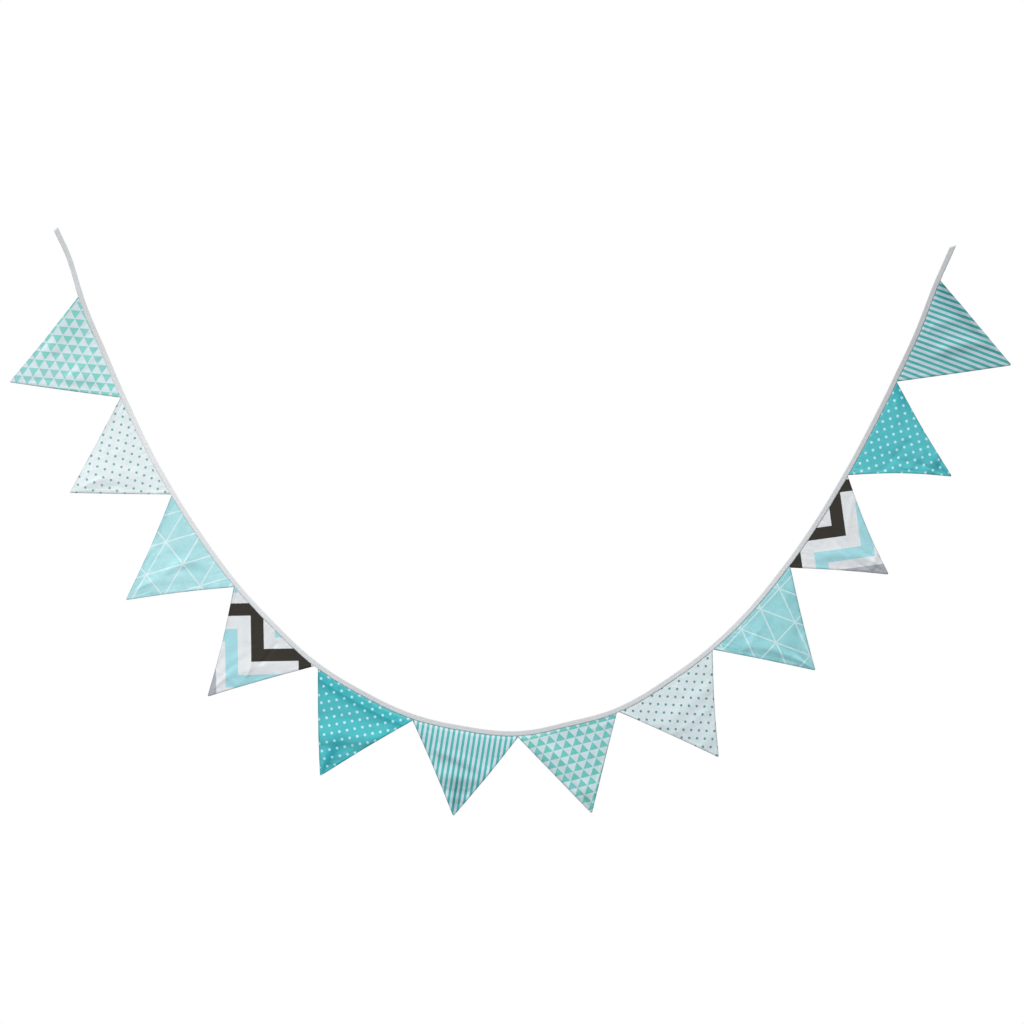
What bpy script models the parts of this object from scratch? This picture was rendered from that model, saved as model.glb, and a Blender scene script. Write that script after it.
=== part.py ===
"""A fabric bunting: twelve pennants sewn into a narrow folded tape that hangs between its two ends.

The origin is the tape's left end, on its fold. +X runs to the right end, +Z is up and the
printed side faces -Y. Lengths in the tables are millimetres and angles are degrees; both are
turned into metres and radians where they are used.
"""

import math
from typing import NamedTuple

import bmesh
import bpy
import numpy as np
from mathutils import Vector

MM = 0.001

# Tape: a strip of cloth folded along its length, its open edges towards the pennants
TAPE_WIDTH = 9.6
TAPE_WALL = 1.0
SLOT_AT_PENNANTS = 1.8
SLOT_IN_TAILS = 0.3
SLOT_EASE = 20.0
FOLD_SEGMENTS = 4
RING_STEP = 16.0

# Free tails of the tape: each stretch's length and slope, from the left
LEFT_TAIL = ((60.0, -64.5), (71.0, -74.0))
RIGHT_TAIL = ((69.0, 66.0),)
LEFT_END_SLANT = 4.0
RIGHT_END_SLANT = 8.0

# Sway of the tape towards and away from the viewer: size, wavelength, and phase in degrees
SWAY = ((2.6, 940.0, 35.0), (1.4, 410.0, 160.0))
SWAY_FREE_ENDS = 90.0
SWAY_EASE = 160.0

# Pennants: one flat cloth each
CLOTH = 1.2
TUCK_DEPTH = 2.4
END_CORNER_DEPTH = 10.6
TIP_WIDTH = 2.6
COLUMNS = 10
ROWS = 12
FLAT_DEPTH = 15.0
PATH_STEP = 1.0


class Pennant(NamedTuple):
    """One pennant, from the left end of the tape."""

    print: str  # the printed cloth it is cut from
    pitch: float  # length of tape that it takes
    slope: float  # slope of the tape at its middle
    dip: float  # how far the tape sags at its middle
    height: float  # from the tape's fold to the tip
    lean: float  # how far the tip lies past the middle, along the tape
    bare_left: float  # tape left bare at each end of its pitch
    bare_right: float
    meet: float  # depth below the fold at which it leaves the next one
    left_bow: float  # how far its left side bows out at the middle
    right_bow: float
    swing: float  # how far the tip hangs back (+) or forward (-)
    crown: float  # how far its middle stands forward of its sides


PENNANTS = (
    Pennant("mint_triangles", 215, -66.5, -1.5, 191.5, 0.5, 9, 0.15, 10.2, -1.5, 0.5, -4.0, 2.5),
    Pennant("teal_spots", 208, -63.0, 1.5, 176, 12.5, 0.15, 0.15, 7.4, -0.5, 0.5, -6.0, 4.0),
    Pennant("blue_lattice", 210, -55.5, 0.5, 191.5, 9.5, 0.15, 0.15, 11.6, -3.0, -2.5, -3.0, 2.0),
    Pennant("steps", 214, -45.5, -0.5, 191.5, 3.5, 0.15, 1, 9.4, -3.5, -1.5, -4.0, 3.0),
    Pennant("white_spots", 209, -28.5, 0.5, 188, 1, 6.5, 0.15, 13.0, 1.5, -2.0, 11.0, 4.5),
    Pennant("mint_stripes", 199, -9.5, 0.0, 179, 3.5, 0.15, 0.15, 12.8, -2.0, 1.5, 11.0, 2.0),
    Pennant("mint_triangles", 192, 13.5, -2.0, 184.5, 5.5, 0.15, 0.15, 7.4, 0.0, -0.5, 11.0, 3.0),
    Pennant("teal_spots", 214, 34.0, 0.0, 185, 5.5, 0.15, 0.15, 8.4, -1.5, -3.0, 10.0, 3.0),
    Pennant("blue_lattice", 213, 48.0, 2.0, 179, -4.5, 0.15, 0.15, 13.6, -1.0, -2.0, 10.0, 4.0),
    Pennant("steps", 205, 57.5, 1.0, 175.5, -12.5, 0.15, 0.15, 8.6, -2.0, -5.5, 5.0, 2.5),
    Pennant("white_spots", 200, 62.5, 0.0, 184.5, -10, 0.15, 0.15, 9.2, -5.5, -3.0, 8.0, 4.5),
    Pennant("mint_stripes", 214, 67.5, 2.5, 196.5, 8.5, 0.15, 5, 10.6, 0.5, -1.0, 9.0, 2.0),
)


class Fold(NamedTuple):
    """A soft fold in one pennant's cloth, along a straight line on it."""

    pennant: int  # counted from 1
    from_across: float  # 0 at the left side, 1 at the right side
    from_down: float  # 0 at the tape, 1 at the tip
    to_across: float
    to_down: float
    rise: float  # towards the viewer
    spread: float


FOLDS = (
    Fold(1, 0.05, 0.15, 0.20, 0.40, 1.8, 22),
    Fold(1, 0.80, 0.05, 0.78, 0.32, 1.4, 18),
    Fold(2, 0.75, 0.10, 0.60, 0.75, 0.6, 24),
    Fold(3, 0.58, 0.08, 0.55, 0.40, 2.2, 14),
    Fold(3, 0.85, 0.12, 0.45, 0.80, 1.0, 18),
    Fold(4, 0.20, 0.20, 0.85, 0.55, 0.8, 18),
    Fold(4, 0.85, 0.12, 0.45, 0.80, 1.2, 18),
    Fold(5, 0.00, 0.60, 1.00, 0.30, 3.0, 18),
    Fold(5, 0.00, 0.82, 1.00, 0.64, 1.4, 14),
    Fold(6, 0.20, 0.21, 0.95, 0.41, 3.8, 14),
    Fold(6, 0.00, 0.53, 1.00, 0.49, 4.5, 18),
    Fold(7, 0.25, 0.15, 0.45, 0.85, 2.5, 16),
    Fold(7, 0.00, 0.72, 1.00, 0.72, 2.0, 15),
    Fold(8, 0.12, 0.33, 0.88, 0.24, 1.6, 18),
    Fold(8, 0.10, 0.80, 0.90, 0.72, 1.0, 14),
    Fold(9, 0.14, 0.05, 0.35, 0.85, 2.2, 18),
    Fold(9, 0.80, 0.15, 0.60, 0.75, 1.5, 16),
    Fold(10, 0.15, 0.08, 0.55, 0.80, 1.5, 16),
    Fold(11, 0.25, 0.02, 0.35, 0.75, -1.2, 18),
    Fold(11, 0.00, 0.70, 1.00, 0.74, 2.0, 14),
    Fold(12, 0.35, 0.20, 0.88, 0.75, 2.6, 16),
    Fold(12, 1.00, 0.05, 0.95, 0.60, 4.5, 20),
)


class Finish(NamedTuple):
    """The plain look of one cloth."""

    colour: tuple[float, float, float]
    roughness: float


FINISHES = {
    "tape": Finish((0.78, 0.79, 0.80), 0.85),
    "mint_triangles": Finish((0.42, 0.76, 0.71), 0.8),
    "teal_spots": Finish((0.76, 0.81, 0.83), 0.8),
    "blue_lattice": Finish((0.45, 0.74, 0.78), 0.8),
    "steps": Finish((0.62, 0.70, 0.73), 0.8),
    "white_spots": Finish((0.05, 0.46, 0.50), 0.8),
    "mint_stripes": Finish((0.26, 0.64, 0.58), 0.8),
}


def ease(value: float) -> float:
    """Rise softly from 0 to 1 while value goes from 0 to 1."""
    held = min(max(value, 0.0), 1.0)
    return held * held * (3.0 - 2.0 * held)


def clear_scene() -> None:
    """Remove the objects that are in the file."""
    for item in list(bpy.data.objects):
        bpy.data.objects.remove(item, do_unlink=True)


def cloth_material(name: str) -> bpy.types.Material:
    """Make a Principled material from the finish of that name."""
    finish = FINISHES[name]
    material = bpy.data.materials.new(name + "_cloth")
    material.use_nodes = True
    shader = material.node_tree.nodes["Principled BSDF"]
    shader.inputs["Base Color"].default_value = (*finish.colour, 1.0)
    shader.inputs["Roughness"].default_value = finish.roughness
    shader.inputs["Metallic"].default_value = 0.0
    return material


class TapePath:
    """The line of the tape's fold: each length of tape has its own slope, eased into the next."""

    def __init__(self) -> None:
        held = [(row.pitch, row.slope) for row in PENNANTS]
        lengths, slopes = zip(*LEFT_TAIL, *held, *RIGHT_TAIL)
        self.ends = np.concatenate([[0.0], np.cumsum(lengths)])
        self.pennant_ends = self.ends[len(LEFT_TAIL) : len(LEFT_TAIL) + len(PENNANTS) + 1]
        self.middles = (self.ends[1:] + self.ends[:-1]) / 2.0
        self.slopes = np.radians(slopes)
        self.length = float(self.ends[-1])
        count = round(self.length / PATH_STEP) + 1
        self.stations = np.linspace(0.0, self.length, count)
        half_steps = (self.stations[1:] + self.stations[:-1]) / 2.0
        step = self.length / (count - 1)
        turns = np.array([self.slope(station) for station in half_steps])
        self.x = np.concatenate([[0.0], np.cumsum(np.cos(turns) * step)])
        self.z = np.concatenate([[0.0], np.cumsum(np.sin(turns) * step)])

    def slope(self, station: float) -> float:
        """Slope of the tape at a station, in radians."""
        after = int(np.clip(np.searchsorted(self.middles, station), 1, len(self.middles) - 1))
        span = self.middles[after] - self.middles[after - 1]
        share = ease((station - self.middles[after - 1]) / span)
        return float(self.slopes[after - 1] * (1.0 - share) + self.slopes[after] * share)

    def sway(self, station: float) -> float:
        """How far back the tape lies at a station."""
        from_end = min(station, self.length - station) - SWAY_FREE_ENDS
        waves = sum(
            size * math.sin(2.0 * math.pi * station / wave + math.radians(phase))
            for size, wave, phase in SWAY
        )
        return ease(from_end / SWAY_EASE) * waves

    def dip(self, station: float) -> float:
        """How far the tape sags at a station, below its eased line."""
        after = int(np.searchsorted(self.pennant_ends, station))
        if after in (0, len(self.pennant_ends)):
            return 0.0
        start, end = self.pennant_ends[after - 1], self.pennant_ends[after]
        share = (station - start) / (end - start)
        return PENNANTS[after - 1].dip * math.sin(math.pi * share) ** 2

    def place(self, station: float, depth: float, back: float = 0.0) -> Vector:
        """Point at a station, a depth towards the pennants and a distance back, in millimetres."""
        slope = self.slope(station)
        depth += self.dip(station)
        x = float(np.interp(station, self.stations, self.x)) + depth * math.sin(slope)
        z = float(np.interp(station, self.stations, self.z)) - depth * math.cos(slope)
        return Vector((x, self.sway(station) + back, z))


def slot_width(path: TapePath, station: float) -> float:
    """Room between the tape's two walls: closed in the tails, open where pennants are held."""
    into = min(station - path.pennant_ends[0], path.pennant_ends[-1] - station)
    share = ease((into + SLOT_EASE) / (0.9 * SLOT_EASE))
    return SLOT_IN_TAILS + (SLOT_AT_PENNANTS - SLOT_IN_TAILS) * share


def folded_section(slot: float) -> list[tuple[float, float]]:
    """Depth and distance back of the points across the middle of the folded cloth."""
    radius = (slot + TAPE_WALL) / 2.0
    centre = TAPE_WALL / 2.0 + radius
    points = [(TAPE_WIDTH, radius)]
    for step in range(FOLD_SEGMENTS + 1):
        angle = math.pi * step / FOLD_SEGMENTS
        points.append((centre - radius * math.sin(angle), radius * math.cos(angle)))
    points.append((TAPE_WIDTH, -radius))
    return points


def give_thickness(item: bpy.types.Object, thickness: float) -> None:
    """Turn a sheet into a closed solid, its thickness shared between both sides."""
    solid = item.modifiers.new("thickness", "SOLIDIFY")
    solid.thickness = thickness * MM
    solid.offset = 0.0
    solid.use_even_offset = True
    solid.use_rim = True


def sheet_object(name: str, finish: str, columns: int, rows: int, place) -> bpy.types.Object:
    """Make a grid whose points are placed by a function of column and row, both from 0 to 1."""
    sheet = bmesh.new()
    bmesh.ops.create_grid(sheet, x_segments=columns, y_segments=rows, size=0.5)
    for vertex in sheet.verts:
        vertex.co = place(vertex.co.x + 0.5, vertex.co.y + 0.5) * MM
    mesh = bpy.data.meshes.new(name)
    sheet.to_mesh(mesh)
    sheet.free()
    mesh.shade_smooth()
    mesh.materials.append(cloth_material(finish))
    item = bpy.data.objects.new(name, mesh)
    bpy.context.scene.collection.objects.link(item)
    return item


def build_tape(path: TapePath) -> bpy.types.Object:
    """Fold the long strip over its middle and hang it along the path."""
    rings = round(path.length / RING_STEP)
    across = FOLD_SEGMENTS + 2

    def place(along: float, over: float) -> Vector:
        station = along * path.length
        depth, back = folded_section(slot_width(path, station))[round(over * across)]
        if round(along * rings) == 0:
            station += LEFT_END_SLANT * depth / TAPE_WIDTH
        if round(along * rings) == rings:
            station -= RIGHT_END_SLANT * (1.0 - depth / TAPE_WIDTH)
        return path.place(station, depth, back)

    tape = sheet_object("tape", "tape", rings, across, place)
    give_thickness(tape, TAPE_WALL)
    return tape


class PennantCloth:
    """Places the points of one pennant's cloth."""

    def __init__(self, path: TapePath, number: int) -> None:
        self.path = path
        self.row = PENNANTS[number - 1]
        self.folds = [fold for fold in FOLDS if fold.pennant == number]
        begin, finish = path.pennant_ends[number - 1], path.pennant_ends[number]
        self.start = begin + self.row.bare_left
        self.end = finish - self.row.bare_right
        self.left_depth = END_CORNER_DEPTH if number == 1 else PENNANTS[number - 2].meet
        self.right_depth = self.row.meet
        self.tip = self.tip_place(begin, finish)

    def tip_place(self, start: float, end: float) -> Vector:
        """Tip of the pennant, measured square to the chord of its stretch of tape."""
        left = self.path.place(start, 0.0)
        right = self.path.place(end, 0.0)
        chord = (right - left).normalized()
        down = Vector((chord.z, 0.0, -chord.x)).normalized()
        self.chord = chord
        return (left + right) / 2.0 + chord * self.row.lean + down * self.row.height

    def corner(self, across: float) -> Vector:
        """Point on the line where the pennant comes free of the tape and its neighbours."""
        station = self.start + (self.end - self.start) * across
        depth = self.left_depth + (self.right_depth - self.left_depth) * across
        return self.path.place(station, depth)

    def relief(self, across: float, down: float) -> float:
        """How far back the cloth lies at a place on it: swing, crown and folds."""
        freed = ease(down)
        back = self.row.swing * down ** 1.5
        back -= self.row.crown * math.sin(math.pi * across) * freed * (1.0 - down) * 2.0
        width = self.row.pitch
        for fold in self.folds:
            begin = np.array([fold.from_across * width, fold.from_down * self.row.height])
            finish = np.array([fold.to_across * width, fold.to_down * self.row.height])
            here = np.array([across * width, down * self.row.height])
            run = finish - begin
            share = float(np.clip(np.dot(here - begin, run) / np.dot(run, run), 0.0, 1.0))
            away = float(np.linalg.norm(here - begin - run * share))
            back -= fold.rise * math.exp(-((away / fold.spread) ** 2)) * ease(down * 4.0)
        return back

    def place(self, across: float, level: float) -> Vector:
        """Point of the cloth at a share of its width and a share of its rows."""
        row = round(level * ROWS)
        if row == 0:
            station = self.start + (self.end - self.start) * across
            return self.path.place(station, TUCK_DEPTH)
        down = (row - 1) / (ROWS - 1)
        top = self.corner(across)
        tip = self.tip + self.chord * (across - 0.5) * TIP_WIDTH
        point = top.lerp(tip, down)
        bow = self.row.right_bow * across - self.row.left_bow * (1.0 - across)
        side = abs(2.0 * across - 1.0) ** 2 * math.sin(math.pi * down)
        point += self.chord * bow * side
        point.y = self.path.sway(self.start + (self.end - self.start) * across)
        shift = down * self.row.height - FLAT_DEPTH
        if row > 1 and shift > 0.0:
            point.y += self.relief(across, shift / (self.row.height - FLAT_DEPTH))
        return point


def build_pennant(path: TapePath, number: int) -> bpy.types.Object:
    """Cut one pennant, tuck its top edge into the tape and let it hang."""
    cloth = PennantCloth(path, number)
    name = f"pennant_{number:02d}"
    pennant = sheet_object(name, cloth.row.print, COLUMNS, ROWS, cloth.place)
    give_thickness(pennant, CLOTH)
    return pennant


def main() -> None:
    """Build the tape and its pennants."""
    clear_scene()
    path = TapePath()
    build_tape(path)
    for number in range(1, len(PENNANTS) + 1):
        build_pennant(path, number)


main()
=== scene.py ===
"""Looks of a fabric bunting: twelve printed cotton pennants stitched into one narrow folded tape.

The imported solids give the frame. The cloths made here hang on the same tape line, with the same
sizes, and stand for those solids. The tape starts at the origin and runs to +X, +Z is up and the
printed side faces -Y. Sizes in the tables are millimetres and angles are degrees; both become
metres and radians where they are used.
"""

import logging
import math
from abc import ABC, abstractmethod
from collections.abc import Iterator
from dataclasses import dataclass, field
from enum import Enum
from typing import ClassVar

import bmesh
import bpy
import numpy as np
from mathutils import Matrix, Vector


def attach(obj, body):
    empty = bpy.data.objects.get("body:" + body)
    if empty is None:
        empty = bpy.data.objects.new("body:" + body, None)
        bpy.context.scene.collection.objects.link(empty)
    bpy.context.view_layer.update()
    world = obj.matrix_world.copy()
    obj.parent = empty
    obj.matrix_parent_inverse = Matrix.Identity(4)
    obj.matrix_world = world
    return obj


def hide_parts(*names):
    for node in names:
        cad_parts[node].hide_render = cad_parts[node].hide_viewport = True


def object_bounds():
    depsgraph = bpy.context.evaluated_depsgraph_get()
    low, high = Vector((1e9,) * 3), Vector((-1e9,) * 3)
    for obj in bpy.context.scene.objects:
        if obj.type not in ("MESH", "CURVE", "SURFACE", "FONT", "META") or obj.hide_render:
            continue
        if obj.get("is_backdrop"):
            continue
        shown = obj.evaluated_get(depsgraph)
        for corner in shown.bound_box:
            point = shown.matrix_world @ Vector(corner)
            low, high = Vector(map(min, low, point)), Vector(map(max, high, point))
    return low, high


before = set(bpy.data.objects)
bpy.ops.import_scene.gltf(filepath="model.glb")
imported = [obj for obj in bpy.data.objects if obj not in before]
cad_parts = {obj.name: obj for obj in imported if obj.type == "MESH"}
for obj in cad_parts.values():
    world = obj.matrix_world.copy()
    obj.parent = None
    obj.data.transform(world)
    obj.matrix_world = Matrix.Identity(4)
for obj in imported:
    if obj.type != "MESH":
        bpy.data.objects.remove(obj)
CAD_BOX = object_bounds()

MM = 0.001
MM_IN_METRE = 1000.0
TINY = 1e-6
BODY = "root"
PRINT_MAP = "print"
SIDES_MAP = "sides"
STRIP_MAP = "strip"
# Name of the value that paints light and shade into the cloths' colour
PAINTED_LIGHT_ATTRIBUTE = "tone"

log = logging.getLogger("bunting")


class Print(Enum):
    """The printed cottons; each value is the cloth's material slot in the record."""

    MINT_TRIANGLES = "mint_triangles"
    TEAL_SPOTS = "teal_spots"
    BLUE_LATTICE = "blue_lattice"
    STEPS = "steps"
    WHITE_SPOTS = "white_spots"
    MINT_STRIPES = "mint_stripes"


@dataclass(frozen=True)
class Stretch:
    """A stretch of tape and the slope at its middle."""

    length: float
    slope: float


@dataclass(frozen=True)
class Wave:
    """One regular wave."""

    size: float
    length: float
    phase: float

    def at(self, place: np.ndarray) -> np.ndarray:
        """Height of the wave at places along its run."""
        turns = place / self.length + self.phase / 360.0
        return self.size * np.sin(2.0 * math.pi * turns)


@dataclass(frozen=True)
class Lay:
    """How the printed cloth was turned and placed when one pennant was cut from it.

    The print's own origin falls at a place across and down from the middle of the pennant's
    stretch of tape. The stretches say how the cloth gives along the print's two directions.
    """

    turn: float
    across: float
    down: float
    stretch_x: float = 1.0
    stretch_y: float = 1.0


@dataclass(frozen=True)
class Cut:
    """Sizes of one pennant and how it hangs, from the left end of the tape."""

    print: Print
    pitch: float
    slope: float
    dip: float
    height: float
    lean: float
    bare_left: float
    bare_right: float
    meet: float
    left_bow: float
    right_bow: float
    swing: float
    crown: float
    # Painted light over the whole pennant's cloth, painted shade where below 0
    tone: float
    lay: Lay


MINT, TEAL, BLUE = Print.MINT_TRIANGLES, Print.TEAL_SPOTS, Print.BLUE_LATTICE
STEPS, WHITE, STRIPES = Print.STEPS, Print.WHITE_SPOTS, Print.MINT_STRIPES

# Columns: print, pitch on the tape, slope there, dip, height, lean of the tip, tape left bare on the
# left and right, depth at which it leaves the next pennant, bows of its sides, swing of the tip, crown,
# share of painted light by which its whole cloth is lighter, painted shade where it is below 0
PENNANTS = (
    Cut(MINT, 215, -66.5, -1.5, 191.5, 0.5, 9, 0.15, 10.2, -1.5, 0.5, -4.0, 2.5, 0.05,
        Lay(175, -9, 72, 1.02, 1.03)),
    Cut(TEAL, 208, -63.0, 1.5, 176, 12.5, 0.15, 0.15, 7.4, -0.5, 0.5, -6.0, 4.0, 0.05,
        Lay(-100, 2, 59, 1.02, 0.99)),
    Cut(BLUE, 210, -55.5, 0.5, 191.5, 9.5, 0.15, 0.15, 11.6, -3.0, -2.5, -3.0, 2.0, 0.1,
        Lay(-52, 15, 65, 1.0, 1.02)),
    Cut(STEPS, 214, -45.5, -0.5, 191.5, 3.5, 0.15, 1, 9.4, -3.5, -1.5, -4.0, 3.0, 0.0,
        Lay(1, -47, -7, 1.01, 0.99)),
    Cut(WHITE, 209, -28.5, 0.5, 188, 1, 6.5, 0.15, 13.0, 1.5, -2.0, 11.0, 4.5, -0.05,
        Lay(-71, -17, 47, 1.01, 0.99)),
    Cut(STRIPES, 199, -9.5, 0.0, 179, 3.5, 0.15, 0.15, 12.8, -2.0, 1.5, 11.0, 2.0, -0.1,
        Lay(-9, 30, 77, 0.98, 1.0)),
    Cut(MINT, 192, 13.5, -2.0, 184.5, 5.5, 0.15, 0.15, 7.4, 0.0, -0.5, 11.0, 3.0, -0.3,
        Lay(14, 9, 84, 0.98, 0.98)),
    Cut(TEAL, 214, 34.0, 0.0, 185, 5.5, 0.15, 0.15, 8.4, -1.5, -3.0, 10.0, 3.0, -0.25,
        Lay(-3, 23, 62, 0.98, 1.01)),
    Cut(BLUE, 213, 48.0, 2.0, 179, -4.5, 0.15, 0.15, 13.6, -1.0, -2.0, 10.0, 4.0, -0.2,
        Lay(47, 11, 24, 1.0, 0.98)),
    Cut(STEPS, 205, 57.5, 1.0, 175.5, -12.5, 0.15, 0.15, 8.6, -2.0, -5.5, 5.0, 2.5, 0.0,
        Lay(98, -53, -33, 0.94, 1.02)),
    Cut(WHITE, 200, 62.5, 0.0, 184.5, -10, 0.15, 0.15, 9.2, -5.5, -3.0, 8.0, 4.5, 0.0,
        Lay(20, 20, 60, 0.99, 1.01)),
    Cut(STRIPES, 214, 67.5, 2.5, 196.5, 8.5, 0.15, 5, 10.6, 0.5, -1.0, 9.0, 2.0, -0.15,
        Lay(-110, 14, 69, 1.02, 1.0)),
)


@dataclass(frozen=True)
class Mark:
    """Something that runs along a straight line on one pennant, such as a fold or a patch of painted light
    or shade.

    Across runs from 0 at the left side to 1 at the right side, down from 0 at the tape to 1 at the
    tip. It fades out over the spread, in millimetres.
    """

    pennant: int
    from_across: float
    from_down: float
    to_across: float
    to_down: float
    strength: float
    spread: float


# The main folds, which the solids have as well. The strength is the rise towards the viewer
FOLDS = (
    Mark(1, 0.05, 0.15, 0.20, 0.40, 1.8, 22),
    Mark(1, 0.80, 0.05, 0.78, 0.32, 1.4, 18),
    Mark(2, 0.75, 0.10, 0.60, 0.75, 0.6, 24),
    Mark(3, 0.58, 0.08, 0.55, 0.40, 2.2, 14),
    Mark(3, 0.85, 0.12, 0.45, 0.80, 1.0, 18),
    Mark(4, 0.20, 0.20, 0.85, 0.55, 0.8, 18),
    Mark(4, 0.85, 0.12, 0.45, 0.80, 1.2, 18),
    Mark(5, 0.00, 0.60, 1.00, 0.30, 3.0, 18),
    Mark(5, 0.00, 0.82, 1.00, 0.64, 1.4, 14),
    Mark(6, 0.20, 0.21, 0.95, 0.41, 3.8, 14),
    Mark(6, 0.00, 0.53, 1.00, 0.49, 4.5, 18),
    Mark(7, 0.25, 0.15, 0.45, 0.85, 2.5, 16),
    Mark(7, 0.00, 0.72, 1.00, 0.72, 2.0, 15),
    Mark(8, 0.12, 0.33, 0.88, 0.24, 1.6, 18),
    Mark(8, 0.10, 0.80, 0.90, 0.72, 1.0, 14),
    Mark(9, 0.14, 0.05, 0.35, 0.85, 2.2, 18),
    Mark(9, 0.80, 0.15, 0.60, 0.75, 1.5, 16),
    Mark(10, 0.15, 0.08, 0.55, 0.80, 1.5, 16),
    Mark(11, 0.25, 0.02, 0.35, 0.75, -1.2, 18),
    Mark(11, 0.00, 0.70, 1.00, 0.74, 2.0, 14),
    Mark(12, 0.35, 0.20, 0.88, 0.75, 2.6, 16),
    Mark(12, 1.00, 0.05, 0.95, 0.60, 4.5, 20),
)

# Finer creases, too small for the solids
CREASES = (
    Mark(1, 0.55, 0.05, 0.75, 0.45, 0.6, 6),
    Mark(1, 0.20, 0.70, 0.80, 0.62, -0.4, 7),
    Mark(2, 0.00, 0.20, 0.25, 0.24, -0.4, 6),
    Mark(2, 0.00, 0.42, 0.30, 0.40, 0.3, 6),
    Mark(3, 0.10, 0.15, 0.60, 0.30, 0.8, 8),
    Mark(3, 0.20, 0.72, 0.95, 0.80, -0.4, 7),
    Mark(4, 0.05, 0.08, 0.35, 0.30, 0.7, 6),
    Mark(4, 0.60, 0.02, 0.72, 0.36, -1.3, 5),
    Mark(4, 0.50, 0.30, 0.78, 0.55, 1.2, 5),
    Mark(4, 0.30, 0.10, 0.42, 0.26, 1.0, 4),
    Mark(4, 0.10, 0.75, 0.90, 0.70, 0.6, 6),
    Mark(5, 0.00, 0.05, 1.00, 0.05, 2.4, 9),
    Mark(5, 0.10, 0.40, 0.85, 0.17, -0.8, 9),
    Mark(5, 0.05, 0.68, 0.90, 0.46, 1.0, 7),
    Mark(5, 0.10, 0.90, 0.90, 0.78, 0.9, 6),
    Mark(6, 0.15, 0.10, 0.30, 0.50, 0.6, 8),
    Mark(6, 0.00, 0.80, 1.00, 0.78, 2.0, 9),
    Mark(6, 0.30, 0.36, 0.95, 0.50, -1.0, 8),
    Mark(6, 0.10, 0.68, 0.80, 0.66, 0.8, 6),
    Mark(7, 0.45, 0.03, 0.98, 0.05, 1.6, 8),
    Mark(7, 0.85, 0.10, 0.70, 0.40, 0.7, 7),
    Mark(7, 0.05, 0.55, 0.60, 0.60, -0.7, 8),
    Mark(8, 0.55, 0.05, 0.60, 0.45, 0.6, 7),
    Mark(8, 0.05, 0.52, 0.85, 0.50, 0.9, 9),
    Mark(9, 0.75, 0.10, 0.85, 0.60, -0.5, 8),
    Mark(9, 0.10, 0.25, 0.45, 0.20, 0.7, 7),
    Mark(10, 0.50, 0.05, 0.35, 0.45, -0.8, 7),
    Mark(10, 0.55, 0.35, 0.95, 0.20, 0.7, 6),
    Mark(10, 0.20, 0.80, 1.00, 0.76, 1.2, 7),
    Mark(11, 0.05, 0.30, 0.60, 0.42, -1.1, 8),
    Mark(11, 0.15, 0.55, 0.70, 0.62, 1.0, 8),
    Mark(11, 0.20, 0.88, 0.90, 0.82, -1.2, 6),
    Mark(11, 0.90, 0.05, 0.75, 0.20, 1.2, 8),
    Mark(12, 0.55, 0.05, 0.80, 0.30, 1.4, 10),
    Mark(12, 0.10, 0.35, 0.50, 0.30, 0.6, 8),
)

# Painted light: shares by which a narrow strip of some pennants is paler right under the tape, to lift the
# tape's shadow line
PAINTED_LIGHT_UNDER_TAPE = {5: 0.16, 6: 0.22, 7: 0.32, 8: 0.24, 9: 0.16, 11: 0.34, 12: 0.20}

# Patches of painted shade and painted light, darker or paler where the folds' shading falls. The strength
# is the share by which the cloth is lighter
PAINTED_LIGHT_AND_SHADE = (
    *(Mark(number, 0.00, 0.00, 1.00, 0.00, paler, 3) for number, paler in PAINTED_LIGHT_UNDER_TAPE.items()),
    Mark(1, 0.10, 0.05, 0.25, 0.20, -0.09, 22),
    Mark(1, 0.85, 0.18, 0.72, 0.25, -0.09, 15),
    Mark(3, 0.00, 0.05, 0.05, 0.20, -0.08, 20),
    Mark(3, 0.67, 0.20, 0.67, 0.28, -0.09, 13),
    Mark(3, 0.66, 0.45, 0.50, 0.68, 0.05, 12),
    Mark(4, 1.00, 0.10, 1.00, 0.90, -0.05, 12),
    Mark(5, 0.00, 0.10, 1.00, 0.09, -0.30, 10),
    Mark(5, 0.50, 0.74, 0.50, 1.00, -0.54, 34),
    Mark(5, 1.00, 0.30, 1.00, 0.80, -0.24, 14),
    Mark(6, 0.00, 0.04, 1.00, 0.04, 0.08, 14),
    Mark(6, 0.50, 0.70, 0.50, 1.00, -0.36, 36),
    Mark(6, 0.23, 0.26, 0.90, 0.45, -0.08, 10),
    Mark(7, 0.40, 0.03, 1.00, 0.06, -0.10, 12),
    Mark(7, 0.00, 0.20, 0.00, 0.90, -0.20, 14),
    Mark(7, 0.50, 0.92, 0.50, 1.00, -0.21, 26),
    Mark(8, 0.05, 0.50, 0.05, 0.90, -0.06, 12),
    Mark(9, 0.00, 0.10, 0.00, 0.95, -0.09, 13),
    Mark(9, 1.00, 0.20, 1.00, 0.95, -0.09, 12),
    Mark(10, 0.50, 0.90, 0.50, 1.00, -0.08, 20),
    Mark(11, 1.00, 0.00, 1.00, 0.12, -0.30, 22),
    Mark(11, 0.60, 0.84, 0.60, 0.95, -0.34, 22),
    Mark(11, 0.05, 0.05, 0.05, 0.40, 0.08, 18),
    Mark(12, 1.00, 0.00, 1.00, 0.14, -0.26, 22),
    Mark(12, 0.92, 0.12, 0.85, 0.50, -0.14, 24),
    Mark(12, 0.08, 0.05, 0.10, 0.35, 0.08, 24),
)


def ease(value: np.ndarray) -> np.ndarray:
    """Rise softly from 0 to 1 while value goes from 0 to 1."""
    held = np.clip(value, 0.0, 1.0)
    return held * held * (3.0 - 2.0 * held)


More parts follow.
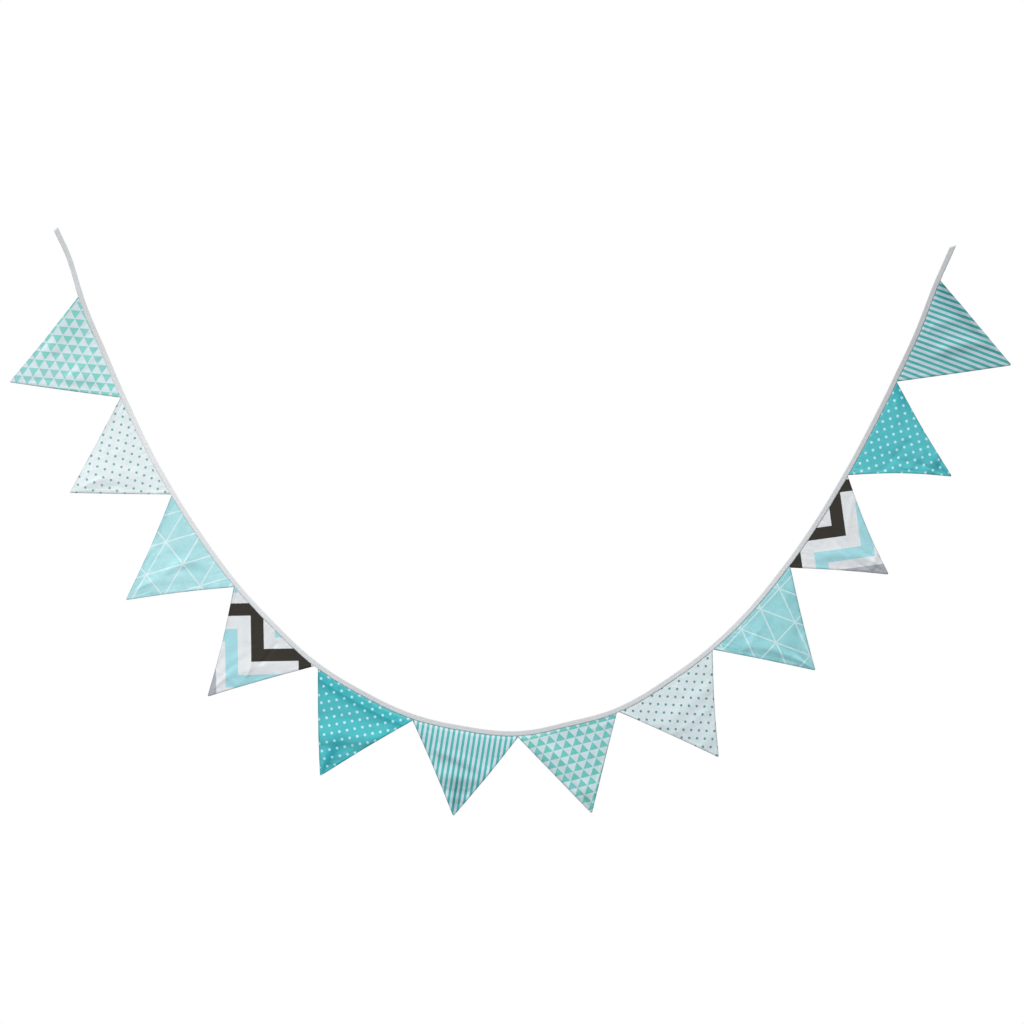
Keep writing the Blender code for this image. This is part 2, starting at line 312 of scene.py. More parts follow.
@dataclass
class TapePath:
    """The hanging line of the tape's fold, on which every cloth is placed.

    Each stretch of tape has its own slope at its middle and is eased into the next.
    """

    left_tail: tuple[Stretch, ...] = (Stretch(60.0, -64.5), Stretch(71.0, -74.0))
    right_tail: tuple[Stretch, ...] = (Stretch(69.0, 66.0),)
    sway_waves: tuple[Wave, ...] = (Wave(2.6, 940.0, 35.0), Wave(1.4, 410.0, 160.0))
    still_ends: float = 90.0
    sway_ease: float = 160.0
    step: float = 1.0
    length: float = field(init=False)
    pennant_ends: np.ndarray = field(init=False)
    middles: np.ndarray = field(init=False)
    slopes: np.ndarray = field(init=False)
    dips: np.ndarray = field(init=False)
    stations: np.ndarray = field(init=False)
    x: np.ndarray = field(init=False)
    z: np.ndarray = field(init=False)

    def __post_init__(self) -> None:
        """Add up the slopes along the tape."""
        held = tuple(Stretch(cut.pitch, cut.slope) for cut in PENNANTS)
        stretches = (*self.left_tail, *held, *self.right_tail)
        ends = np.cumsum([0.0, *(stretch.length for stretch in stretches)])
        first = len(self.left_tail)
        self.pennant_ends = ends[first : first + len(PENNANTS) + 1]
        self.middles = (ends[1:] + ends[:-1]) / 2.0
        self.slopes = np.radians([stretch.slope for stretch in stretches])
        self.dips = np.array([cut.dip for cut in PENNANTS])
        self.length = float(ends[-1])
        count = round(self.length / self.step) + 1
        self.stations = np.linspace(0.0, self.length, count)
        turns = self.slope((self.stations[1:] + self.stations[:-1]) / 2.0)
        run = self.length / (count - 1)
        self.x = np.concatenate([[0.0], np.cumsum(np.cos(turns) * run)])
        self.z = np.concatenate([[0.0], np.cumsum(np.sin(turns) * run)])

    def slope(self, station: np.ndarray) -> np.ndarray:
        """Find the slope of the tape.

        Args:
            station: lengths along the tape.

        Returns:
            The slope at each of them, in radians.
        """
        after = np.clip(np.searchsorted(self.middles, station), 1, len(self.middles) - 1)
        span = self.middles[after] - self.middles[after - 1]
        share = ease((station - self.middles[after - 1]) / span)
        return self.slopes[after - 1] * (1.0 - share) + self.slopes[after] * share

    def sway(self, station: np.ndarray) -> np.ndarray:
        """Find how far back the tape lies.

        Args:
            station: lengths along the tape.

        Returns:
            The distance behind the ends' own plane at each of them.
        """
        from_end = np.minimum(station, self.length - station) - self.still_ends
        waves = sum(wave.at(station) for wave in self.sway_waves)
        return ease(from_end / self.sway_ease) * waves

    def dip(self, station: np.ndarray) -> np.ndarray:
        """Find how far the tape sags below its eased line.

        Args:
            station: lengths along the tape.

        Returns:
            The sag at each of them.
        """
        after = np.searchsorted(self.pennant_ends, station)
        inside = (after > 0) & (after < len(self.pennant_ends))
        number = np.clip(after - 1, 0, len(PENNANTS) - 1)
        start = self.pennant_ends[number]
        share = (station - start) / (self.pennant_ends[number + 1] - start)
        return np.where(inside, self.dips[number] * np.sin(math.pi * share) ** 2, 0.0)

    def place(
        self, station: np.ndarray, depth: np.ndarray, back: np.ndarray | float = 0.0
    ) -> np.ndarray:
        """Find points of the cloths.

        Args:
            station: lengths along the tape.
            depth: distances below the tape's fold, square to it.
            back: distances behind the tape's middle.

        Returns:
            One row of x, y and z for each point, in millimetres.
        """
        slope = self.slope(station)
        deep = depth + self.dip(station)
        x = np.interp(station, self.stations, self.x) + deep * np.sin(slope)
        z = np.interp(station, self.stations, self.z) - deep * np.cos(slope)
        return np.stack([x, self.sway(station) + back, z], axis=-1)


def grid_places(mesh: bpy.types.Mesh) -> np.ndarray:
    """Read the points of a mesh.

    Args:
        mesh: the mesh.

    Returns:
        One row of x, y and z for each point.
    """
    places = np.empty(len(mesh.vertices) * 3)
    mesh.vertices.foreach_get("co", places)
    return places.reshape(-1, 3)


def set_places(mesh: bpy.types.Mesh, places: np.ndarray) -> None:
    """Move a mesh's points to places given in millimetres."""
    mesh.vertices.foreach_set("co", (places * MM).astype(np.float32).ravel())
    mesh.update()


def add_map(mesh: bpy.types.Mesh, name: str, places: np.ndarray) -> None:
    """Add a UV map, which is kept in metres.

    Args:
        mesh: the mesh.
        name: the map's name.
        places: a row of two values for each point, in millimetres.
    """
    corners = np.empty(len(mesh.loops), dtype=np.int32)
    mesh.loops.foreach_get("vertex_index", corners)
    layer = mesh.uv_layers.new(name=name)
    layer.data.foreach_set("uv", (places[corners] * MM).astype(np.float32).ravel())


def add_values(mesh: bpy.types.Mesh, name: str, values: np.ndarray) -> None:
    """Add one named value for each point."""
    layer = mesh.attributes.new(name, "FLOAT", "POINT")
    layer.data.foreach_set("value", values.astype(np.float32))


def mesh_from(name: str, shape: bmesh.types.BMesh) -> bpy.types.Mesh:
    """Turn a finished shape into a mesh.

    Args:
        name: the mesh's name.
        shape: the shape, which is let go of.

    Returns:
        The mesh.
    """
    mesh = bpy.data.meshes.new(name)
    shape.to_mesh(mesh)
    shape.free()
    return mesh


def put_in_scene(name: str, data: bpy.types.ID) -> bpy.types.Object:
    """Put a mesh, a camera or a lamp in the scene.

    Args:
        name: the object's name.
        data: the mesh, camera or lamp.

    Returns:
        The object.
    """
    item = bpy.data.objects.new(name, data)
    bpy.context.scene.collection.objects.link(item)
    return item


def finished_object(name: str, mesh: bpy.types.Mesh, material: bpy.types.Material) -> bpy.types.Object:
    """Shade a mesh smooth, dress it in a material and put it in the scene.

    Args:
        name: the object's name.
        mesh: its mesh.
        material: what it is made of.

    Returns:
        The object.
    """
    mesh.shade_smooth()
    mesh.materials.append(material)
    return put_in_scene(name, mesh)


def give_thickness(item: bpy.types.Object, most: float, shares: np.ndarray) -> None:
    """Turn a sheet into closed cloth, as thick on both sides of the sheet.

    Args:
        item: the sheet.
        most: the greatest thickness, in millimetres.
        shares: the share of it that each point has.
    """
    group = item.vertex_groups.new(name="thickness")
    for number, share in enumerate(np.round(shares, 3)):
        group.add([number], float(share), "REPLACE")
    solid = item.modifiers.new("thickness", "SOLIDIFY")
    solid.thickness = most * MM
    solid.offset = 0.0
    solid.use_even_offset = False
    solid.use_rim = True
    solid.vertex_group = group.name
    solid.thickness_vertex_group = 0.0


@dataclass
class FoldedTape:
    """The tape: a strip of white cotton folded over the pennants, its raw edges turned in.

    Each stretch of the path, the tails' stretches too, is painted lighter or darker by its own share, as
    painted light and shade.
    """

    width: float = 9.6
    wall: float = 0.85
    fold_share: float = 0.68
    turned_in: float = 4.2
    turned_step: float = 0.8
    rim_share: float = 0.45
    rim_round: float = 1.4
    slot: float = 1.05
    slot_in_tails: float = 0.12
    slot_ease: float = 20.0
    slot_run: float = 18.0
    ring_step: float = 4.0
    wall_points: int = 6
    fold_points: int = 9
    left_slant: float = 4.0
    right_slant: float = 8.0
    slant_ease: float = 24.0
    edge_waves: tuple[Wave, ...] = (
        Wave(0.16, 61.0, 20.0), Wave(0.12, 27.0, 140.0), Wave(0.14, 173.0, 80.0)
    )
    edge_drift: float = 0.03
    pinch: float = 0.14
    pinch_reach: float = 1.6
    pinch_ease: float = 0.4
    # Painted light and shade, one share for each stretch of tape
    painted_light_by_stretch: tuple[float, ...] = (
        0.0, 0.05, 0.1, 0.25, 0.2, 0.1, -0.1, -0.15, -0.15, -0.1, 0.0, -0.05, -0.15, -0.3, -0.2
    )

    @property
    def strip_width(self) -> float:
        """Width of the folded strip, across both walls and the fold."""
        radius = (self.slot + self.wall) / 2.0
        return 2.0 * (self.width - radius) + math.pi * radius

    def radius(self, path: TapePath, station: np.ndarray) -> np.ndarray:
        """Find half the distance between the middles of the two walls.

        Args:
            path: the line of the tape's fold.
            station: lengths along the tape.

        Returns:
            The radius of the fold at each of them.
        """
        start, end = path.pennant_ends[0], path.pennant_ends[-1]
        into = np.minimum(station - start, end - station)
        share = ease((into + self.slot_ease) / self.slot_run)
        return (self.slot_in_tails + (self.slot - self.slot_in_tails) * share + self.wall) / 2.0

    def across(self) -> tuple[np.ndarray, np.ndarray]:
        """Set out the points across the strip.

        Returns:
            Their shares down the walls and their turns round the fold, in radians.
        """
        down = np.linspace(1.0, 0.0, self.wall_points, endpoint=False)
        round_fold = np.linspace(0.0, math.pi, self.fold_points)
        shares = np.concatenate([down, np.zeros(self.fold_points), down[::-1]])
        turns = np.concatenate([np.zeros_like(down), round_fold, np.full_like(down, math.pi)])
        return shares, turns

    def build(self, path: TapePath, material: bpy.types.Material) -> bpy.types.Object:
        """Fold the strip and hang it along the path.

        Args:
            path: the line of the tape's fold.
            material: the tape's cotton.

        Returns:
            The tape, as closed cloth that stands for the node of its name.
        """
        shares, turns = self.across()
        rings = round(path.length / self.ring_step)
        sheet = bmesh.new()
        bmesh.ops.create_grid(sheet, x_segments=rings, y_segments=len(shares) - 1, size=0.5)
        mesh = mesh_from("cloth_tape", sheet)
        flat = grid_places(mesh)
        station = (flat[:, 0] + 0.5) * path.length
        point = np.rint((flat[:, 1] + 0.5) * (len(shares) - 1)).astype(int)
        share, turn = shares[point], turns[point]
        radius = self.radius(path, station)
        crest = self.wall * self.fold_share / 2.0 + radius
        depth = crest + share * (self.width - crest) - radius * np.sin(turn)
        side = np.where(turn > 0.5 * math.pi, 1.0, -1.0)
        along_edge = station * (1.0 + self.edge_drift * side)
        depth += share * sum(wave.at(along_edge) for wave in self.edge_waves)
        closed = self.pinch * ease(1.0 - (1.0 - share) * self.width / self.pinch_reach)
        back = (radius - closed * ease((radius - self.wall / 2.0) / self.pinch_ease)) * np.cos(turn)
        from_left = ease(1.0 - station / self.slant_ease)
        from_right = ease(1.0 - (path.length - station) / self.slant_ease)
        slanted = station + from_left * self.left_slant * depth / self.width
        slanted -= from_right * self.right_slant * (1.0 - depth / self.width)
        set_places(mesh, path.place(slanted, depth, back))
        wall_run = self.width - crest
        run = np.where(turn > 0.5 * math.pi, wall_run * (1.0 + share), wall_run * (1.0 - share))
        add_map(mesh, STRIP_MAP, np.stack([station, run + radius * turn], axis=-1))
        from_edge = (1.0 - share) * wall_run
        from_end = np.minimum(station, path.length - station)
        add_map(mesh, SIDES_MAP, np.stack([from_edge, from_end], axis=-1))
        # Painted light and shade along the tape, one share for each stretch
        add_values(mesh, PAINTED_LIGHT_ATTRIBUTE, np.interp(station, path.middles, self.painted_light_by_stretch))
        tape = finished_object("cloth_tape", mesh, material)
        turned = ease((self.turned_in + self.turned_step - from_edge) / self.turned_step)
        rim = self.rim_share + (1.0 - self.rim_share) * ease(from_edge / self.rim_round)
        give_thickness(tape, self.wall, (self.fold_share + (1.0 - self.fold_share) * turned) * rim)
        return tape


@dataclass
class Stitching:
    """The row of thread that holds the tape shut, seen on both of its faces."""

    pitch: float = 3.0
    length: float = 2.5
    thread: float = 0.46
    from_edge: float = 1.6
    sunk: float = 0.14
    end_gap: float = 4.0
    sides: int = 6
    rings: int = 5
    stray: float = 0.12
    stray_turn: float = 3.0
    seed: int = 11

    def stitch(self) -> bpy.types.Mesh:
        """Make one stitch.

        Returns:
            A slim rounded grain of thread along X, in metres.
        """
        grain = Matrix.Diagonal((self.length / 2.0, self.thread / 2.0, self.thread / 2.0, 1.0))
        placed = Matrix.Scale(MM, 4) @ grain @ Matrix.Rotation(math.pi / 2.0, 4, "Y")
        shape = bmesh.new()
        bmesh.ops.create_uvsphere(
            shape, u_segments=self.sides, v_segments=self.rings, radius=1.0, matrix=placed
        )
        return mesh_from("stitch", shape)

    def build(self, path: TapePath, tape: FoldedTape, material: bpy.types.Material) -> bpy.types.Object:
        """Sew along the tape's open edges.

        Args:
            path: the line of the tape's fold.
            tape: the tape, for its width and its walls.
            material: the thread.

        Returns:
            All stitches as one piece.
        """
        draw = np.random.default_rng(self.seed)
        count = int((path.length - 2.0 * self.end_gap) / self.pitch)
        station = np.tile(self.end_gap + (np.arange(count) + 0.5) * self.pitch, 2)
        face = np.repeat((-1.0, 1.0), count)
        depth = tape.width - self.from_edge + draw.normal(0.0, self.stray, 2 * count)
        outer = tape.radius(path, station) + tape.wall / 2.0 + self.thread / 2.0 - self.sunk
        centre = path.place(station, depth, face * outer)
        turn = path.slope(station) + np.radians(draw.normal(0.0, self.stray_turn, 2 * count))
        one = self.stitch()
        sewing = bmesh.new()
        for _ in face:
            sewing.from_mesh(one)
        mesh = mesh_from("tape_stitching", sewing)
        grain = grid_places(one) / MM
        along = np.stack([np.cos(turn), np.zeros_like(turn), np.sin(turn)], axis=-1)
        across = np.stack([-np.sin(turn), np.zeros_like(turn), np.cos(turn)], axis=-1)
        placed = centre[:, None] + grain[None, :, :1] * along[:, None]
        placed += grain[None, :, 2:] * across[:, None]
        placed[:, :, 1] += grain[None, :, 1]
        set_places(mesh, placed.reshape(-1, 3))
        bpy.data.meshes.remove(one)
        return finished_object("tape_stitching", mesh, material)


@dataclass(frozen=True)
class Ruffle:
    """A few small waves drawn at random, each shorter and lower than the one before it.

    A length strays by up to the spread. The evening brings the sum to about the size.
    """

    size: float
    longest: float
    count: int
    shorter: ClassVar[float] = 0.62
    lower: ClassVar[float] = 0.75
    spread: ClassVar[float] = 0.15
    evening: ClassVar[float] = 0.6

    def at(self, place: np.ndarray, draw: np.random.Generator) -> np.ndarray:
        """Draw the waves and add them up.

        Args:
            place: places along their run.
            draw: the seeded numbers for their lengths and phases.

        Returns:
            Their height at each place, about as high as the size.
        """
        total = np.zeros_like(place)
        for number in range(self.count):
            length = self.longest * self.shorter**number
            length *= draw.uniform(1.0 - self.spread, 1.0 + self.spread)
            total += Wave(self.lower**number, length, draw.uniform(0.0, 360.0)).at(place)
        return self.size * self.evening * total


@dataclass
class Pennant:
    """One pennant: a turned triangle of printed cotton, its seams inside, its top edge in the tape."""

    number: int
    path: TapePath
    body: float = 0.9
    seam: float = 1.4
    edge: float = 0.55
    tip_bulk: float = 1.9
    tip_reach: float = 11.0
    seam_width: float = 5.6
    seam_step: float = 1.6
    rim_round: float = 1.3
    tuck_gain: float = 1.5
    tuck_depth: float = 2.4
    end_corner_depth: float = 10.6
    tip_width: float = 2.6
    flat_depth: float = 15.0
    cuts: int = 95
    tuck_rows: int = 5
    crowding: float = 1.22
    swing_power: float = 1.5
    crown_gain: float = 2.0
    fold_gain: float = 4.0
    crease_start: float = 7.0
    pucker: Ruffle = Ruffle(0.32, 17.0, 4)
    pucker_reach: float = 15.0
    pucker_start: float = 4.0
    ripple: Ruffle = Ruffle(0.45, 46.0, 4)
    ripple_reach: float = 9.0
    ripple_start: float = 30.0
    ripple_end: float = 25.0
    slack_down: Ruffle = Ruffle(0.5, 120.0, 3)
    slack_across: Ruffle = Ruffle(1.0, 95.0, 3)
    slack_slant: float = 0.35
    slack_gain: float = 3.0
    area_share: float = 0.53
    seed: int = 100
    cut: Cut = field(init=False)
    start: float = field(init=False)
    end: float = field(init=False)
    corner_depths: tuple[float, float] = field(init=False)
    chord: np.ndarray = field(init=False)
    down: np.ndarray = field(init=False)
    middle: np.ndarray = field(init=False)
    tip: np.ndarray = field(init=False)
    draw: np.random.Generator = field(init=False)

    def __post_init__(self) -> None:
        """Look up the pennant's row and find the frame of its own stretch of tape."""
        self.cut = PENNANTS[self.number - 1]
        begin, finish = self.path.pennant_ends[self.number - 1 : self.number + 1]
        self.start = begin + self.cut.bare_left
        self.end = finish - self.cut.bare_right
        before = self.end_corner_depth if self.number == 1 else PENNANTS[self.number - 2].meet
        self.corner_depths = (before, self.cut.meet)
        left, right = self.path.place(np.array([begin, finish]), np.zeros(2))
        chord = (right - left) * (1.0, 0.0, 1.0)
        self.chord = chord / np.linalg.norm(chord)
        self.down = np.array([self.chord[2], 0.0, -self.chord[0]])
        self.middle = (left + right) / 2.0
        self.tip = self.middle + self.chord * self.cut.lean + self.down * self.cut.height
        self.draw = np.random.default_rng(self.seed + self.number)

    @property
    def name(self) -> str:
        """The node that this pennant stands for."""
        return f"pennant_{self.number:02d}"

    @property
    def flat_size(self) -> tuple[float, float]:
        """Width and length of the cut, in metres, seams not counted."""
        return (self.end - self.start) * MM, (self.cut.height - self.tuck_depth) * MM

    def blank(self) -> bpy.types.Mesh:
        """Cut the triangle with a strip above it that goes into the tape.

        Returns:
            A mesh whose x is the share of the top edge and whose y is 0 at the tape, 1 at the tip
            and -1 at the upper edge of the strip.
        """
        sheet = bmesh.new()
        corners = ((0.0, 0.0, 0.0), (1.0, 0.0, 0.0), (0.5, 1.0, 0.0))
        sheet.faces.new([sheet.verts.new(corner) for corner in corners])
        bmesh.ops.subdivide_edges(sheet, edges=sheet.edges[:], cuts=self.cuts, use_grid_fill=True)
        row = [edge for edge in sheet.edges if all(abs(end.co.y) < TINY for end in edge.verts)]
        for _ in range(self.tuck_rows):
            made = bmesh.ops.extrude_edge_only(sheet, edges=row)["geom"]
            ends = {item for item in made if isinstance(item, bmesh.types.BMVert)}
            bmesh.ops.translate(sheet, vec=(0.0, -1.0 / self.tuck_rows, 0.0), verts=list(ends))
            edges = (item for item in made if isinstance(item, bmesh.types.BMEdge))
            row = [edge for edge in edges if ends.issuperset(edge.verts)]
        bmesh.ops.recalc_face_normals(sheet, faces=sheet.faces)
        return mesh_from("cloth_" + self.name, sheet)

    def shares(self, blank: np.ndarray) -> tuple[np.ndarray, np.ndarray, np.ndarray]:
        """Crowd the blank's points towards its sides.

        Args:
            blank: the blank's points.

        Returns:
            Shares across and down the triangle, and up the strip that goes into the tape.
        """
        down = np.clip(blank[:, 1], 0.0, 1.0)
        right = np.clip(blank[:, 0] - down / 2.0, 0.0, 1.0)
        left = np.clip(1.0 - right - down, 0.0, 1.0)
        crowded = np.stack([left, right, down]) ** self.crowding
        left, right, down = crowded / crowded.sum(axis=0)
        sides = left + right
        across = np.where(sides > TINY, right / np.maximum(sides, TINY), 0.5)
        return across, down, np.clip(-blank[:, 1], 0.0, 1.0)

    def marked(self, across: np.ndarray, down: np.ndarray, marks: tuple[Mark, ...]) -> np.ndarray:
        """Add up this pennant's marks of a table.

        Args:
            across: shares across the pennant.
            down: shares down it.
            marks: the table.

        Returns:
            The marks' strength at each point.
        """
        size = np.array([self.cut.pitch, self.cut.height])
        here = np.stack([across, down], axis=-1) * size
        total = np.zeros_like(across)
        for mark in (mark for mark in marks if mark.pennant == self.number):
            begin = np.array([mark.from_across, mark.from_down]) * size
            run = np.array([mark.to_across, mark.to_down]) * size - begin
            share = np.clip((here - begin) @ run / (run @ run), 0.0, 1.0)
            away = np.linalg.norm(here - begin - share[:, None] * run, axis=-1)
            total += mark.strength * np.exp(-((away / mark.spread) ** 2))
        return total

    def relief(self, across: np.ndarray, down: np.ndarray, sides: np.ndarray) -> np.ndarray:
        """How far back the cloth lies.

        Args:
            across: shares across the pennant.
            down: shares down it.
            sides: distances from its left and right sides.

        Returns:
            Distances behind the tape's own line.
        """
        cut = self.cut
        below = down * cut.height
        freed = np.clip((below - self.flat_depth) / (cut.height - self.flat_depth), 0.0, 1.0)
        crown = cut.crown * np.sin(math.pi * across) * ease(freed) * (1.0 - freed) * self.crown_gain
        back = cut.swing * freed**self.swing_power - crown
        back -= self.marked(across, freed, FOLDS) * ease(freed * self.fold_gain)
        creased = ease((below - self.end_corner_depth) / self.crease_start)
        back -= self.marked(across, down, CREASES) * creased
        station = across * cut.pitch
        puckered = np.exp(-below / self.pucker_reach) * ease(below / self.pucker_start)
        back += self.pucker.at(station, self.draw) * puckered
        rippled = ease(below / self.ripple_start) * ease((cut.height - below) / self.ripple_end)
        for side in sides.T:
            back += self.ripple.at(below, self.draw) * np.exp(-side / self.ripple_reach) * rippled
        slack = self.slack_down.at(below + self.slack_slant * station, self.draw)
        slack *= self.slack_across.at(station, self.draw)
        return back + slack * ease(freed * self.slack_gain) * ease((1.0 - freed) * self.slack_gain)

    def side_distances(self, across: np.ndarray, down: np.ndarray) -> np.ndarray:
        """Measure how far points are from the left and right sides.

        Args:
            across: shares across the pennant.
            down: shares down it.

        Returns:
            One row of two distances for each point.
        """
        width = (self.end - self.start) * (1.0 - down) + self.tip_width * down
        half = (self.end - self.start) / 2.0
        left = math.cos(math.atan2(half + self.cut.lean, self.cut.height))
        right = math.cos(math.atan2(half - self.cut.lean, self.cut.height))
        return np.stack([across * width * left, (1.0 - across) * width * right], axis=-1)

    def hang(self, across: np.ndarray, down: np.ndarray, tuck: np.ndarray) -> np.ndarray:
        """Place the cloth's points, before its relief.

        Args:
            across: shares across the pennant.
            down: shares down it.
            tuck: shares up the strip in the tape.

        Returns:
            One row of x, y and z for each point, in millimetres.
        """
        station = self.start + (self.end - self.start) * across
        corner = self.corner_depths[0] + (self.corner_depths[1] - self.corner_depths[0]) * across
        depth = corner + (self.tuck_depth - corner) * tuck
        top = self.path.place(station, depth)
        tip = self.tip + self.chord * ((across - 0.5) * self.tip_width)[:, None]
        point = top + (tip - top) * down[:, None]
        bow = self.cut.right_bow * across - self.cut.left_bow * (1.0 - across)
        side = np.abs(2.0 * across - 1.0) ** 2 * np.sin(math.pi * down)
        point += self.chord * (bow * side)[:, None]
        middle = (self.start + self.end) / 2.0
        point[:, 1] = self.path.sway(middle + (station - middle) * (1.0 - down))
        return point

    def print_places(self, point: np.ndarray) -> np.ndarray:
        """Find where the points fall on the printed cloth.

        Args:
            point: the points of the hung cloth, before its relief.

        Returns:
            One row for each point, along and up the print's own directions.
        """
        lay = self.cut.lay
        origin = self.middle + self.chord * lay.across + self.down * lay.down
        away = (point - origin)[:, [0, 2]]
        turn = math.radians(lay.turn)
        along = (away @ (math.cos(turn), math.sin(turn))) / lay.stretch_x
        up = (away @ (-math.sin(turn), math.cos(turn))) / lay.stretch_y
        return np.stack([along, up], axis=-1)

    def thickness(self, sides: np.ndarray, down: np.ndarray, tuck: np.ndarray) -> np.ndarray:
        """Find how thick the two cloths are with the seam turnings between them.

        Args:
            sides: distances from the left and right sides.
            down: shares down the pennant.
            tuck: shares up the strip in the tape.

        Returns:
            The thickness at each point.
        """
        near = sides.min(axis=-1)
        from_rim = ease(near / self.rim_round)
        turned = from_rim * (1.0 - ease((near - self.seam_width) / self.seam_step))
        rim = self.edge + (self.body - self.edge) * from_rim
        from_tip = (1.0 - down) * self.cut.height
        bulk = (self.tip_bulk - self.seam) * (1.0 - ease(from_tip / self.tip_reach))
        full = rim + (self.seam - self.body + bulk) * turned
        return full + (self.body - full) * ease(tuck * self.tuck_gain)

    def build(self, material: bpy.types.Material) -> bpy.types.Object:
        """Cut the cloth, hang it and give it its thickness.

        Args:
            material: the printed cotton.

        Returns:
            The pennant, as closed cloth.
        """
        mesh = self.blank()
        across, down, tuck = self.shares(grid_places(mesh))
        sides = self.side_distances(across, down)
        point = self.hang(across, down, tuck)
        add_map(mesh, PRINT_MAP, self.print_places(point))
        add_map(mesh, SIDES_MAP, sides)
        # Painted light and shade: the pennant's own share, its strip under the tape and its patches
        add_values(mesh, PAINTED_LIGHT_ATTRIBUTE, self.cut.tone + self.marked(across, down, PAINTED_LIGHT_AND_SHADE))
        point[:, 1] += self.relief(across, down, sides)
        set_places(mesh, point)
        pennant = finished_object("cloth_" + self.name, mesh, material)
        thick = self.thickness(sides, down, tuck)
        give_thickness(pennant, self.tip_bulk, thick / self.tip_bulk)
        return pennant


class Desk:
    """A node tree, with the few kinds of node that the finishes are drawn from."""

    def __init__(self, tree: bpy.types.NodeTree) -> None:
        """Keep the tree that the nodes go into."""
        self.tree = tree

    def node(self, kind: str, **settings: object) -> bpy.types.Node:
        """Add a node.

        Args:
            kind: the kind of node.
            settings: the node's own settings by name.

        Returns:
            The node.
        """
        made = self.tree.nodes.new(kind)
        for name, value in settings.items():
            setattr(made, name, value)
        return made

    def feed(self, socket: bpy.types.NodeSocket, value: "Wire | Tint | float") -> None:
        """Link a wire to a socket, or set the socket's own value.

        Args:
            socket: the socket.
            value: the wire, colour or number that goes into it.
        """
        if isinstance(value, Wire):
            self.tree.links.new(value.socket, socket)
        else:
            socket.default_value = value.linear if isinstance(value, Tint) else value

    def wire(
        self,
        kind: str,
        fed: "dict[int | str, Wire | Tint | float]",
        given: int | str = 0,
        **settings: object,
    ) -> "Wire":
        """Add a node, feed it and take one of its values.

        Args:
            kind: the kind of node.
            fed: what goes into its inputs, by their names or places.
            given: name or place of the output that is taken.
            settings: the node's own settings by name.

        Returns:
            The value that it gives.
        """
        made = self.node(kind, **settings)
        for socket, value in fed.items():
            self.feed(made.inputs[socket], value)
        return Wire(self, made.outputs[given])

    def calc(self, operation: str, *values: "Wire | float") -> "Wire":
        """Work out one sum."""
        return self.wire("ShaderNodeMath", dict(enumerate(values)), operation=operation)

    def uv(self, name: str) -> "Wire":
        """Read a UV map of the piece, in metres."""
        return self.wire("ShaderNodeUVMap", {}, "UV", uv_map=name)

    def value(self, name: str) -> "Wire":
        """Read a named value of the piece."""
        return self.wire("ShaderNodeAttribute", {}, "Fac", attribute_name=name)

    def split(self, place: "Wire") -> tuple["Wire", "Wire"]:
        """Part a place into its first two directions.

        Args:
            place: the place, in metres.

        Returns:
            How far it lies along the first and the second direction, in millimetres.
        """
        made = self.node("ShaderNodeSeparateXYZ")
        self.feed(made.inputs[0], place)
        return Wire(self, made.outputs["X"]) * MM_IN_METRE, Wire(self, made.outputs["Y"]) * MM_IN_METRE

    def join(self, x: "Wire | float", y: "Wire | float", z: "Wire | float" = 0.0) -> "Wire":
        """Make a place from its directions."""
        return self.wire("ShaderNodeCombineXYZ", {"X": x, "Y": y, "Z": z})

    def noise(self, x: "Wire", y: "Wire", layer: float = 0.0, detail: float = 2.0) -> "Wire":
        """Soft noise from 0 to 1, about one unit across and different in each layer."""
        fed = {"Vector": self.join(x, y, layer), "Scale": 1.0, "Detail": detail}
        return self.wire("ShaderNodeTexNoise", fed)

    def cell(self, x: "Wire", y: "Wire") -> "Wire":
        """A value of its own from 0 to 1 for each whole place."""
        fed = {"Vector": self.join(x, y)}
        return self.wire("ShaderNodeTexWhiteNoise", fed, "Value", noise_dimensions="2D")

    def blend(self, share: "Wire | float", first: "Wire | Tint", second: "Wire | Tint") -> "Wire":
        """Go from the first colour to the second."""
        return self.wire("ShaderNodeMix", {0: share, 6: first, 7: second}, 2, data_type="RGBA")

    def plain(self, tint: "Tint") -> "Wire":
        """One colour all over."""
        return self.blend(0.0, tint, tint)

    def shade(self, colour: "Wire", share: "Wire") -> "Wire":
        """Darken or lighten a colour by a share."""
        return self.wire("ShaderNodeVectorMath", {0: colour, "Scale": share}, operation="SCALE")

    def paint_light_and_shade(self, colour: "Wire", tone: "Wire", darker: float) -> "Wire":
        """Paint light or shade into a colour, making it paler or deeper.

        Args:
            colour: the colour.
            tone: the share by which it gets paler as painted light, or deeper as painted shade below 0.
            darker: how much of that share makes it brighter or darker as well.

        Returns:
            The new colour.
        """
        deepened = self.wire("ShaderNodeGamma", {"Color": colour, "Gamma": 1.0 - tone})
        return self.shade(deepened, tone * darker + 1.0)

    def raise_surface(self, shader: bpy.types.Node, height: "Wire", depth: float) -> None:
        """Give a shader's surface a fine relief.

        Args:
            shader: the shader.
            height: the relief's height.
            depth: how far a height of 1 stands out, in millimetres.
        """
        fed = {"Strength": 1.0, "Distance": depth * MM, "Height": height}
        self.feed(shader.inputs["Normal"], self.wire("ShaderNodeBump", fed))


